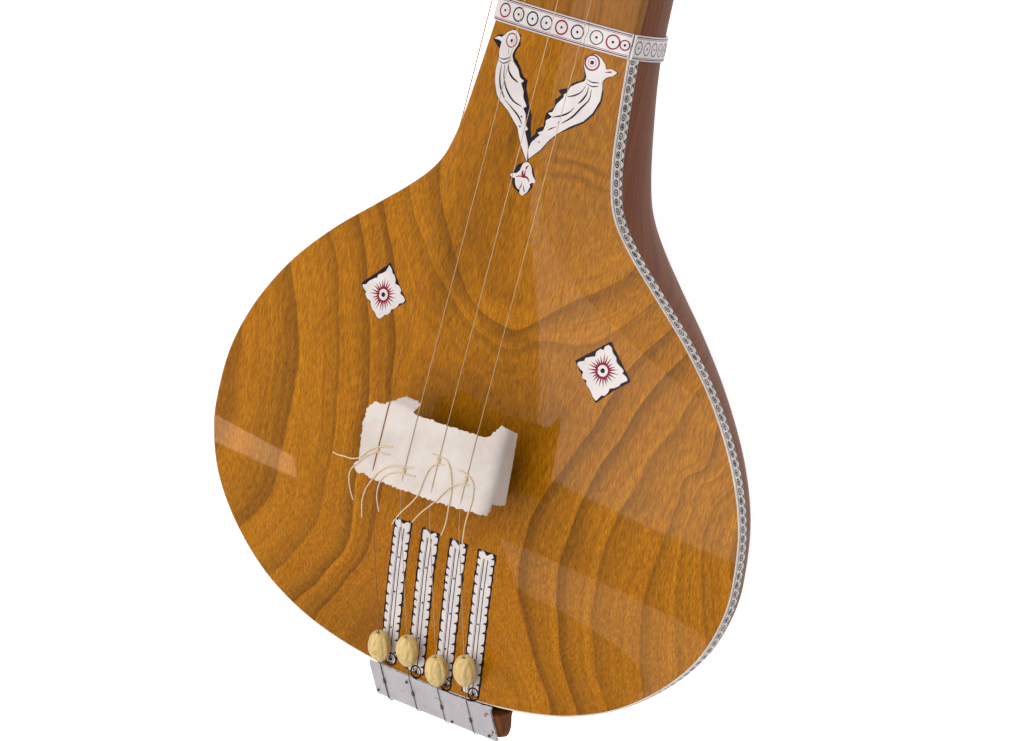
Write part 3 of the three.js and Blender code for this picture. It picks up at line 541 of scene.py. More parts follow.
    def write(self, name: str, *dress: Finish, crease: float = 40.0,
              drawn: Callable[[Points], Points] | None = None) -> bpy.types.Object:
        """Make the Blender object.

        Args:
            name: Name of the piece.
            dress: The finish for each number.
            crease: Angle in degrees over which an edge stays sharp.
            drawn: Gives the ring lines' map from points in millimetres.

        Returns:
            The object, placed in the scene.
        """
        points = np.concatenate(self.points)
        mesh = bpy.data.meshes.new(name)
        mesh.from_pydata((points * MM).tolist(), [], self.faces)
        for finish in dress:
            mesh.materials.append(finish.material())
        mesh.polygons.foreach_set("material_index", self.finishes)
        work = bmesh.new()
        work.from_mesh(mesh)
        bmesh.ops.recalc_face_normals(work, faces=work.faces)
        work.to_mesh(mesh)
        work.free()
        mesh.polygons.foreach_set("use_smooth", [True] * len(mesh.polygons))
        mesh.set_sharp_from_angle(angle=math.radians(crease))
        if drawn is not None:
            values = drawn(points)
            layer = mesh.uv_layers.new(name="rings")
            corners = np.zeros(len(mesh.loops), int)
            mesh.loops.foreach_get("vertex_index", corners)
            layer.data.foreach_set("uv", values[corners].astype(np.float32).ravel())
        return placed_object(name, mesh)


def box_mm(node: str) -> tuple[Vector, Vector]:
    """Lowest and highest corner of a frame node in millimetres."""
    low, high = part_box(node)
    return low / MM, high / MM


def placed_object(name: str, data: bpy.types.ID) -> bpy.types.Object:
    """Make an object and put it into the scene."""
    made = bpy.data.objects.new(name, data)
    bpy.context.scene.collection.objects.link(made)
    return made


def standing(up: Vector, foot: Sequence[float]) -> Placing:
    """Make a placing that turns local Z upright and moves the origin to a foot point."""
    turn = np.array(up.to_track_quat("Z", "Y").to_matrix()).T
    return lambda points: points @ turn + np.array(foot)


def inside(points: Points, outline: Points, margin: float) -> np.ndarray:
    """Find which points lie inside an outline, clear of its line.

    Args:
        points: Points in the plane.
        outline: Closed outline.
        margin: Least distance to the outline's corners.

    Returns:
        One truth value for each point.
    """
    a, b = outline, np.roll(outline, -1, 0)
    x, y = points[:, 0, None], points[:, 1, None]
    crosses = (a[:, 1] > y) != (b[:, 1] > y)
    slope = (b[:, 0] - a[:, 0]) / np.where(np.abs(b[:, 1] - a[:, 1]) < 1e-12, 1e-12, b[:, 1] - a[:, 1])
    within = (crosses & (x < a[:, 0] + (y - a[:, 1]) * slope)).sum(1) % 2 == 1
    near = np.sqrt(((points[:, None] - outline[None]) ** 2).sum(2)).min(1)
    return within & (near > margin)


def settle(piece: bpy.types.Object, slot: str, *nodes: str, body: str = "instrument") -> None:
    """Tie a finished piece to the frame and report it.

    Args:
        piece: The object.
        slot: The record's material slot; not used.
        nodes: Frame nodes that it stands for.
        body: The moving body that carries it.
    """
    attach(piece, body)
    if nodes:
        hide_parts(*nodes)
    LOG.info("%s rides on %s, %d faces", piece.name, body, len(piece.data.polygons))


def drill(piece: bpy.types.Object, holes: Sequence[tuple[Vector, Vector, float]]) -> None:
    """Cut round holes through a piece.

    Args:
        piece: The object, at the origin.
        holes: Start, end and radius of each, in millimetres.
    """
    book = MeshBook()
    for start, stop, radius in holes:
        book.tube(np.array([start, (start + stop) / 2, stop]), radius, 32)
    cutter = book.write("drill")
    cut = piece.modifiers.new("holes", "BOOLEAN")
    cut.operation, cut.object, cut.solver = "DIFFERENCE", cutter, "EXACT"
    bpy.context.view_layer.update()
    done = bpy.data.meshes.new_from_object(
        piece.evaluated_get(bpy.context.evaluated_depsgraph_get()))
    piece.modifiers.clear()
    old, piece.data = piece.data, done
    done.set_sharp_from_angle(angle=math.radians(40))
    bpy.data.meshes.remove(old)
    bpy.data.objects.remove(cutter)


# Node trees


class Tree:
    """Short names for making and joining nodes in one node tree."""

    def __init__(self, tree: bpy.types.NodeTree) -> None:
        """Keep the tree."""
        self.tree = tree

    def node(self, kind: str, **settings: object) -> bpy.types.Node:
        """Add a node.

        Args:
            kind: Blender's name of the node.
            settings: Its own settings.

        Returns:
            The node.
        """
        made = self.tree.nodes.new(kind)
        made.location = (180 * (len(self.tree.nodes) % 12), -220 * (len(self.tree.nodes) // 12))
        for name, value in settings.items():
            setattr(made, name, value)
        return made

    def feed(self, socket: bpy.types.NodeSocket, value: object) -> None:
        """Join an output to a socket, or set the socket's own value."""
        if isinstance(value, bpy.types.NodeSocket):
            self.tree.links.new(value, socket)
        else:
            socket.default_value = value

    def fill(self, node: bpy.types.Node, values: Filling) -> None:
        """Feed several sockets of a node by their names."""
        for name, value in values.items():
            self.feed(node.inputs[name], value)

    def fed(self, made: bpy.types.Node, values: Sequence[object]) -> bpy.types.NodeSocket:
        """Feed a node's sockets in order and return its output."""
        for socket, value in zip(made.inputs, values):
            self.feed(socket, value)
        return made.outputs[0]

    def math(self, kind: str, *values: object) -> bpy.types.NodeSocket:
        """Add a math node and return its output."""
        return self.fed(self.node("ShaderNodeMath", operation=kind), values)

    def plus(self, first: object, second: object) -> bpy.types.NodeSocket:
        """Add two values."""
        return self.math("ADD", first, second)

    def minus(self, first: object, second: object) -> bpy.types.NodeSocket:
        """Take the second value from the first."""
        return self.math("SUBTRACT", first, second)

    def times(self, first: object, second: object) -> bpy.types.NodeSocket:
        """Multiply two values."""
        return self.math("MULTIPLY", first, second)

    def vector(self, kind: str, *values: object) -> bpy.types.NodeSocket:
        """Add a vector math node and return its output."""
        return self.fed(self.node("ShaderNodeVectorMath", operation=kind), values)

    def mix(self, share: object, first: object, second: object,
            blend: str = "MIX") -> bpy.types.NodeSocket:
        """Mix two colours and return the result."""
        made = self.node("ShaderNodeMix", data_type="RGBA", blend_type=blend, clamp_factor=True)
        self.feed(made.inputs[0], share)
        self.feed(made.inputs[6], first)
        self.feed(made.inputs[7], second)
        return made.outputs[2]

    def spread(self, value: object, low: float, high: float, to_low: float = 0.0,
               to_high: float = 1.0, smooth: bool = False) -> bpy.types.NodeSocket:
        """Map a value from one range to another and return it."""
        made = self.node("ShaderNodeMapRange",
                         interpolation_type="SMOOTHSTEP" if smooth else "LINEAR")
        return self.fed(made, (value, low, high, to_low, to_high))

    def noise(self, place: object, scale: float, detail: float = 3.0,
              rough: float = 0.5) -> bpy.types.NodeSocket:
        """Add a noise texture and return its value."""
        made = self.node("ShaderNodeTexNoise", noise_dimensions="3D")
        self.fill(made, {"Vector": place, "Scale": scale, "Detail": detail, "Roughness": rough})
        return made.outputs["Fac"]

    def stretched(self, place: object, by: Sequence[float]) -> bpy.types.NodeSocket:
        """Scale a place along each axis and return it."""
        return self.vector("MULTIPLY", place, tuple(by))

    def scaled(self, place: object, by: object) -> bpy.types.NodeSocket:
        """Scale a place by one value and return it."""
        made = self.node("ShaderNodeVectorMath", operation="SCALE")
        self.feed(made.inputs["Scale"], by)
        self.feed(made.inputs[0], place)
        return made.outputs[0]

    def bump(self, height: object, strength: float, distance: float) -> bpy.types.NodeSocket:
        """Turn a height into a normal, with the distance in metres."""
        made = self.node("ShaderNodeBump")
        self.fill(made, {"Strength": strength, "Distance": distance, "Height": height})
        return made.outputs[0]

    def use(self, effect: bpy.types.NodeTree, **values: object) -> bpy.types.NodeOutputs:
        """Place an effect group with its own values and return its outputs."""
        made = self.node("ShaderNodeGroup", node_tree=effect)
        self.fill(made, {name.capitalize(): value for name, value in values.items()})
        return made.outputs


class Effect:
    """A node group with named inputs and outputs, built once."""

    name = "Effect"
    takes: tuple[tuple[str, str, object], ...] = ()
    gives: tuple[str, ...] = ()

    @classmethod
    def group(cls) -> bpy.types.NodeTree:
        """Return the group, and build it the first time."""
        found = bpy.data.node_groups.get(cls.name)
        if found:
            return found
        made = bpy.data.node_groups.new(cls.name, "ShaderNodeTree")
        for name, kind, value in cls.takes:
            socket = made.interface.new_socket(name, in_out="INPUT", socket_type=kind)
            if value is not None:
                socket.default_value = value
        for name in cls.gives:
            made.interface.new_socket(name, in_out="OUTPUT", socket_type="NodeSocketFloat")
        tree = Tree(made)
        source, target = tree.node("NodeGroupInput"), tree.node("NodeGroupOutput")
        tree.fill(target, cls.draw(tree, source.outputs))
        return made

    @classmethod
    def draw(cls, tree: Tree, given: bpy.types.NodeOutputs) -> Filling:
        """Draw the group's nodes.

        Args:
            tree: Where the nodes go.
            given: The group's inputs.

        Returns:
            What goes into each output.
        """
        raise NotImplementedError


class WoodFigure(Effect):
    """Growth rings, fibres and pores of planed wood."""

    name = "Wood figure"
    takes = (("Rings", "NodeSocketFloat", 0.0), ("Place", "NodeSocketVector", None),
             ("Fibre", "NodeSocketFloat", 1.0), ("Wander", "NodeSocketFloat", 0.9),
             ("Width", "NodeSocketFloat", 5.0), ("Least", "NodeSocketFloat", 0.12))
    gives = ("Late wood", "Tone", "Fibres", "Pores")

    @classmethod
    def draw(cls, tree: Tree, given: bpy.types.NodeOutputs) -> Filling:
        """Late wood darkens towards a ring's end, fibres run along Y, pores are short dashes."""
        place = given["Place"]
        slow_bend = tree.noise(tree.stretched(place, (22, 9, 22)), 1.0, 2.0)
        ragged = tree.noise(tree.stretched(place, (420, 60, 420)), 1.0, 2.0)
        wander = tree.minus(tree.plus(slow_bend, tree.times(ragged, 0.25)), 0.62)
        count = tree.plus(given["Rings"], tree.times(wander, given["Wander"]))
        part = tree.math("FRACT", count)
        chance = tree.node("ShaderNodeTexWhiteNoise", noise_dimensions="1D")
        tree.feed(chance.inputs["W"], tree.math("FLOOR", count))
        soft_end = tree.spread(part, 0.95, 1.0, 1.0, 0.0, smooth=True)
        late = tree.times(tree.math("POWER", part, given["Width"]), soft_end)
        weight = tree.spread(chance.outputs["Value"], 0.1, 1.0, given["Least"], 1.0)
        row = tree.node("ShaderNodeCombineXYZ")
        tree.fill(row, {"X": tree.times(count, 0.45), "Y": tree.times(count, 9.0)})
        tones = []
        for by, rough in (((1.5, 3.0, 1.5), 0.55), ((4, 16, 4), 0.6)):
            tones.append(tree.noise(tree.vector("ADD", row.outputs[0], tree.stretched(place, by)),
                                    1.0, 3.0, rough))
        fine = tree.scaled(tree.stretched(place, (2500, 220, 2500)), given["Fibre"])
        dash = tree.scaled(tree.stretched(place, (2600, 210, 2600)), given["Fibre"])
        return {"Late wood": tree.times(late, weight),
                "Tone": tree.plus(tree.times(tones[0], 0.55), tree.times(tones[1], 0.45)),
                "Fibres": tree.noise(fine, 1.0, 4.0, 0.7),
                "Pores": tree.spread(tree.noise(dash, 1.0, 1.0), 0.66, 0.78, 0, 1, True)}


class Handling(Effect):
    """Smears and fine scratches that use leaves on a surface."""

    name = "Handling marks"
    takes = (("Place", "NodeSocketVector", None),)
    gives = ("Smears", "Scratches")

    @classmethod
    def draw(cls, tree: Tree, given: bpy.types.NodeOutputs) -> Filling:
        """Wide smears, and thin scratches in two directions."""
        place = given["Place"]
        marks = []
        for by, scale in (((900, 26, 300), 1.0), ((40, 800, 300), 1.3)):
            marks.append(tree.spread(tree.noise(tree.stretched(place, by), scale, 2.0), 0.7, 0.76))
        return {"Smears": tree.spread(tree.noise(place, 34.0, 4.0, 0.6), 0.42, 0.72, 0, 1, True),
                "Scratches": tree.math("MAXIMUM", *marks)}


# Finishes


@dataclass(frozen=True)
class Finish:
    """A material with its name, made once and shared."""

    name: str

    def material(self) -> bpy.types.Material:
        """Return the material, and build it the first time."""
        found = bpy.data.materials.get(self.name)
        if found:
            return found
        made = bpy.data.materials.new(self.name)
        made.use_nodes = True
        made.node_tree.nodes.clear()
        tree = Tree(made.node_tree)
        shader = tree.node("ShaderNodeBsdfPrincipled")
        end = tree.node("ShaderNodeOutputMaterial")
        tree.feed(end.inputs["Surface"], shader.outputs[0])
        where = tree.node("ShaderNodeTexCoord").outputs["Object"]
        tree.fill(shader, self.paint(tree, where))
        return made

    def paint(self, tree: Tree, where: bpy.types.NodeSocket) -> Filling:
        """Draw the material's nodes.

        Args:
            tree: Where the nodes go.
            where: Place on the piece, in metres.

        Returns:
            What goes into the sockets of the Principled shader.
        """
        raise NotImplementedError


@dataclass(frozen=True)
class Wood(Finish):
    """Wood with ring lines, fibres and pores under oil, staining or lacquer."""

    light: str
    middle: str
    dark: str
    late_share: float
    fibre: float
    rough: float
    coat: float
    coat_rough: float
    ring_map: WoodMap
    ring_width: float = 6.0
    grain_depth: float = 0.00006
    wander: float = 0.9
    late_width: float = 5.0
    least_late: float = 0.12
    contrast: float = 0.2
    heart: float = 0.11

    def paint(self, tree: Tree, where: bpy.types.NodeSocket) -> Filling:
        """Colour follows the rings, the lacquer lies smooth over the fibres."""
        split = tree.node("ShaderNodeSeparateXYZ")
        if self.ring_map is WoodMap.DRAWN:
            tree.feed(split.inputs[0], tree.node("ShaderNodeUVMap", uv_map="rings").outputs[0])
            rings, stain_and_shade = split.outputs["X"], split.outputs["Y"]
        else:
            tree.feed(split.inputs[0], where)
            aside, up = split.outputs["X"], tree.minus(split.outputs["Z"], self.heart)
            far = tree.math("SQRT", tree.plus(tree.math("POWER", aside, 2.0),
                                              tree.math("POWER", up, 2.0)))
            rings, stain_and_shade = tree.times(far, 1000 / self.ring_width), 0.0
        figure = tree.use(WoodFigure.group(), rings=rings, place=where, fibre=self.fibre,
                          wander=self.wander, width=self.late_width, least=self.least_late)
        marks = tree.use(Handling.group(), place=where)
        middle, dark = color(self.middle), color(self.dark)
        base = tree.mix(tree.spread(figure["Tone"], 0.36, 0.64), middle, color(self.light))
        wide = tree.spread(tree.noise(tree.stretched(where, (26, 7, 26)), 1.0, 3.0), 0.35, 0.68)
        base = tree.mix(tree.times(wide, 0.4), base, middle)
        base = tree.mix(tree.times(figure["Late wood"], self.late_share), base, dark)
        # Darken by the map's second channel: the board's dark band and patches, and painted shadow round
        # the bridge.
        base = tree.mix(stain_and_shade, base, dark)
        fibres = tree.spread(figure["Fibres"], 0.37, 0.63, 1 - self.contrast, 1 + self.contrast)
        shade = tree.node("ShaderNodeCombineColor")
        for socket in shade.inputs[:3]:
            tree.feed(socket, fibres)
        base = tree.mix(1.0, base, shade.outputs[0], "MULTIPLY")
        base = tree.mix(tree.times(figure["Pores"], 0.35), base, dark)
        under = tree.minus(figure["Fibres"], tree.times(figure["Pores"], 0.8))
        filling = {
            "Base Color": tree.mix(tree.times(marks["Smears"], 0.06), base, dark),
            "Roughness": tree.spread(figure["Fibres"], 0.2, 0.8, self.rough - 0.05, self.rough + 0.1),
            "Normal": tree.bump(under, 0.5, self.grain_depth),
            "Specular IOR Level": 0.02 if self.coat else 0.3}
        if self.coat:
            filling |= {"Coat Weight": self.coat, "Coat IOR": 1.35, "Coat Roughness": self.coat_rough}
        return filling


@dataclass(frozen=True)
class Plastic(Finish):
    """Cast sheet or bone: pale, with soft clouds, scratches and grime."""

    base: str
    cloud: str
    grime: str
    grime_share: float
    rough: float = 0.32
    depth: float = 0.00003

    def paint(self, tree: Tree, where: bpy.types.NodeSocket) -> Filling:
        """Clouds in the sheet, dark specks, and a surface scraped flat by hand."""
        marks = tree.use(Handling.group(), place=where)
        cloud = tree.spread(tree.noise(where, 90.0, 4.0, 0.6), 0.35, 0.7)
        base = tree.mix(cloud, color(self.base), color(self.cloud))
        spots = tree.spread(tree.noise(where, 700.0, 3.0, 0.7), 0.66, 0.8)
        dirt = tree.math("MAXIMUM", spots, tree.times(marks["Smears"], 0.35))
        height = tree.minus(tree.noise(where, 260.0, 3.0), tree.times(marks["Scratches"], 0.7))
        return {"Base Color": tree.mix(tree.times(dirt, self.grime_share), base, color(self.grime)),
                "Roughness": tree.spread(marks["Smears"], 0, 1, self.rough, self.rough + 0.16),
                "Normal": tree.bump(height, 0.4, self.depth),
                "Coat Weight": 0.25, "Coat Roughness": 0.12}


@dataclass(frozen=True)
class Lac(Finish):
    """Shellac and pigment melted into grooves and round the inlays."""

    base: str
    worn: str

    def paint(self, tree: Tree, where: bpy.types.NodeSocket) -> Filling:
        """Uneven colour and a lumpy, half glossy surface."""
        uneven = tree.spread(tree.noise(where, 520.0, 4.0, 0.65), 0.4, 0.72)
        return {"Base Color": tree.mix(uneven, color(self.base), color(self.worn)),
                "Roughness": tree.spread(uneven, 0, 1, 0.28, 0.5),
                "Normal": tree.bump(tree.noise(where, 900.0, 3.0), 0.5, 0.00005),
                "Specular IOR Level": 0.12}


@dataclass(frozen=True)
class Wire(Finish):
    """Drawn wire, with the fine lines of the die and some tarnish."""

    base: str
    tarnish: str
    rough: float
    tarnish_share: float

    def paint(self, tree: Tree, where: bpy.types.NodeSocket) -> Filling:
        """Bright metal with darker patches along it."""
        patch = tree.spread(tree.noise(where, 150.0, 4.0, 0.7), 0.45, 0.7)
        share = tree.times(patch, self.tarnish_share)
        lines = tree.noise(tree.stretched(where, (9000, 300, 9000)), 1.0, 2.0)
        return {"Base Color": tree.mix(share, color(self.base), color(self.tarnish)),
                "Roughness": tree.spread(patch, 0, 1, self.rough, self.rough + 0.25),
                "Normal": tree.bump(lines, 0.3, 0.00001), "Metallic": 1.0}


@dataclass(frozen=True)
class Paper(Finish):
    """Thick soft paper with creases, fibres and a little dirt."""

    base: str = "E2DCD9"
    shade: str = "D3CAC5"
    dirt: str = "A8988C"

    def paint(self, tree: Tree, where: bpy.types.NodeSocket) -> Filling:
        """Matt pulp, creased along the folds."""
        pulp = tree.noise(where, 1500.0, 4.0, 0.7)
        cloud = tree.spread(tree.noise(where, 60.0, 3.0, 0.6), 0.4, 0.7)
        base = tree.mix(cloud, color(self.base), color(self.shade))
        creases = tree.node("ShaderNodeTexVoronoi", feature="DISTANCE_TO_EDGE")
        tree.fill(creases, {"Vector": tree.stretched(where, (1.0, 1.6, 1.0)), "Scale": 70.0})
        fold = tree.spread(creases.outputs["Distance"], 0.0, 0.04)
        height = tree.plus(tree.times(pulp, 0.35), tree.times(fold, 0.5))
        return {"Base Color": tree.mix(tree.spread(pulp, 0.62, 0.8, 0, 0.3), base, color(self.dirt)),
                "Normal": tree.bump(height, 0.35, 0.0001),
                "Roughness": 0.92, "Specular IOR Level": 0.15,
                "Subsurface Weight": 0.06, "Subsurface Scale": 0.002}


@dataclass(frozen=True)
class Carved(Finish):
    """Pale carved bead material, with darker lengthwise streaks and small dark pits."""

    base: str
    deep: str
    pit: str = "8D6A38"

    def paint(self, tree: Tree, where: bpy.types.NodeSocket) -> Filling:
        """Lengthwise streaks, small pits and a soft shine."""
        streak = tree.noise(tree.stretched(where, (900, 120, 900)), 1.0, 4.0, 0.6)
        base = tree.mix(tree.spread(streak, 0.4, 0.75), color(self.base), color(self.deep))
        pits = tree.spread(tree.noise(where, 1600.0, 2.0), 0.66, 0.78, 0, 0.5)
        return {"Base Color": tree.mix(pits, base, color(self.pit)),
                "Roughness": tree.spread(streak, 0.2, 0.8, 0.42, 0.6),
                "Normal": tree.bump(tree.minus(streak, pits), 0.4, 0.00008),
                "Subsurface Weight": 0.1, "Subsurface Scale": 0.002}


@dataclass(frozen=True)
class Cotton(Finish):
    """Spun cotton, tan and fuzzy."""

    base: str
    shade: str

    def paint(self, tree: Tree, where: bpy.types.NodeSocket) -> Filling:
        """Fibre flecks and sheen."""
        fleck = tree.noise(where, 2600.0, 4.0, 0.7)
        flecks = tree.spread(fleck, 0.35, 0.7)
        return {"Base Color": tree.mix(flecks, color(self.base), color(self.shade)),
                "Normal": tree.bump(fleck, 0.5, 0.00006), "Roughness": 0.9, "Sheen Weight": 0.3}


BOARD_WOOD = Wood("Board wood", "C07E0E", "A26408", "5E3A06", 0.8, 1.0, 0.45, 0.42, 0.03,
                  WoodMap.DRAWN, wander=0.22, late_width=2.1, least_late=0.55, contrast=0.38)
COVER_WOOD = Wood("Neck cover wood", "A66E24", "8E5A18", "4E3210", 0.6, 1.0, 0.45, 0.42, 0.045,
                  WoodMap.DRAWN, contrast=0.17)
SHELL_WOOD = Wood("Shell wood", "8C5236", "744024", "3E2012", 0.5, 1.0, 0.5, 0.12, 0.12,
                  WoodMap.TURNED, 7.0, contrast=0.1)
DARK_WOOD = Wood("Dark turned wood", "5E3618", "4A2A12", "22120A", 0.6, 1.3, 0.4, 0.35, 0.1,
                 WoodMap.TURNED, 3.0)
INNER_WOOD = Wood("Plain inner wood", "D0AC7C", "BC9666", "8E6A40", 0.5, 1.0, 0.7, 0.0, 0.1,
                  WoodMap.TURNED, 5.0, 0.0002)
INLAY = Plastic("White inlay", "E4E1E2", "D4D0D4", "8C7C86", 0.3)
BLOCK_WOOD = Wood("Tail block wood", "80502A", "683C1C", "32190C", 0.6, 1.2, 0.6, 0.08, 0.3,
                  WoodMap.TURNED, 3.0)
BINDING = Plastic("Binding", "EAE4DE", "D2CAC4", "7A6862", 0.4)
PLATE = Plastic("Tail plate face", "BDBBC4", "AEADB8", "7A7884", 0.35, 0.42)
BONE = Plastic("Bone", "E6DCC4", "D6C8A8", "9A8662", 0.3, 0.35)
BLACK_LAC = Lac("Black lac", "140C16", "2C1826")
RED_LAC = Lac("Red lac", "7E0E2C", "A02A48")
VIOLET_LAC = Lac("Violet lac", "2C1834", "4A2A4A")
CHIPPED = Lac("Chipped edge", "8A5A34", "B08858")
INLAY_DRESS = (INLAY, BLACK_LAC, RED_LAC, VIOLET_LAC)
STEEL = Wire("Steel wire", "B09C7C", "6E5A44", 0.35, 0.4)
BRONZE = Wire("Bronze wire", "9C683C", "5E3A20", 0.3, 0.5)
DULL_WIRE = Wire("Tarnished wire", "5A5048", "2A221C", 0.45, 0.6)
NAIL = Wire("Iron nail", "4C4C52", "2A2220", 0.42, 0.6)
PAPER = Paper("Bridge paper")
BEAD = Carved("Carved bead", "EAD494", "BC9654")
COTTON = Cotton("Cotton thread", "F2E4C6", "CDB184")


# Camera, floor and light


@dataclass
class Studio:
    """The camera at the photograph's angle, the pale floor and the soft light."""

    eye: tuple[float, float, float] = (885.82, 298.97, 1491.59)
    right: tuple[float, float, float] = (0.804759836715, 0.242539281914, -0.54178990572)
    down: tuple[float, float, float] = (0.282973542358, -0.959085245778, -0.009025832728)
    ahead: tuple[float, float, float] = (-0.521811823876, -0.146048581163, -0.840465485552)
    lens: float = 147.656
    floor_reach: float = 9.0
    card_height: float = 2.0
    floor_level: float = -0.0006
    floor_glow: float = 0.86
    ambient: float = 0.42

    def set_camera(self) -> None:
        """Place the camera."""
        data = bpy.data.cameras.new("camera")
        data.lens, data.sensor_width, data.sensor_fit = self.lens, 36.0, "HORIZONTAL"
        data.clip_start, data.clip_end = 0.05, 60.0
        made = placed_object("camera", data)
        axes = np.array([self.right, -np.array(self.down), -np.array(self.ahead)]).T
        made.matrix_world = Matrix.Translation(Vector(self.eye) * MM) @ Matrix(axes).to_4x4()
        bpy.context.scene.camera = made

    def lay_floor(self) -> None:
        """Lay a pale floor that keeps the shadow."""
        r, z = self.floor_reach, self.floor_level
        mesh = bpy.data.meshes.new("floor")
        mesh.from_pydata([(-r, -r, z), (r, -r, z), (r, r, z), (-r, r, z)], [], [(0, 1, 2, 3)])
        floor = placed_object("floor", mesh)
        made = bpy.data.materials.new("Studio floor")
        made.use_nodes = True
        tree = Tree(made.node_tree)
        tree.fill(made.node_tree.nodes["Principled BSDF"], {
            "Base Color": (0.8, 0.8, 0.8, 1), "Roughness": 1.0, "Specular IOR Level": 0.0,
            "Emission Color": (1, 1, 1, 1),
            "Emission Strength": tree.times(self.seen_rays(tree), self.floor_glow)})
        mesh.materials.append(made)

    def light_world(self) -> None:
        """Light evenly from all round, white where it is seen."""
        world = bpy.data.worlds.new("studio")
        bpy.context.scene.world = world
        world.use_nodes = True
        tree = Tree(world.node_tree)
        tree.fill(world.node_tree.nodes["Background"], {
            "Color": (1, 1, 1, 1),
            "Strength": tree.spread(self.seen_rays(tree), 0, 1, self.ambient, 1.0)})

    def seen_rays(self, tree: Tree) -> bpy.types.NodeSocket:
        """Tell the rays that see the background, straight, in a mirror or through glass."""
        ray = tree.node("ShaderNodeLightPath").outputs
        return tree.math("MAXIMUM", ray["Is Camera Ray"], tree.math(
            "MAXIMUM", ray["Is Glossy Ray"], ray["Is Transmission Ray"]))

    def hang_card(self, name: str, middle: Sequence[float], size: Sequence[float],
                  radiance: float, tint: Sequence[float]) -> None:
        """Hang one soft rectangular lamp over the object, facing down.

        Args:
            name: Its name.
            middle: Its middle in metres, across and along.
            size: Width and length in metres.
            radiance: How bright its face is.
            tint: Its colour.
        """
        data = bpy.data.lights.new(name, "AREA")
        data.shape, data.size, data.size_y = "RECTANGLE", size[0], size[1]
        data.energy, data.color = radiance * math.pi * size[0] * size[1], tint
        placed_object(name, data).location = (*middle, self.card_height)

    def build(self) -> None:
        """Set up the whole studio."""
        bpy.context.scene.view_settings.view_transform = "Standard"
        self.set_camera()
        self.lay_floor()
        self.light_world()
        self.hang_card("wide_card", (-0.04, 0.6), (1.88, 1.4), 2.3, (1, 0.97, 0.94))
        self.hang_card("side_card", (-0.39, -0.4), (1.18, 0.58), 4.6, (1, 0.86, 0.74))
        self.hang_card("tail_card", (-0.7, -1.2), (0.85, 0.34), 4.2, (1, 0.76, 0.52))
        self.hang_card("window_card", (-2.46, -1.22), (0.6, 0.16), 12.0, (1, 0.66, 0.4))


# Strings and threads


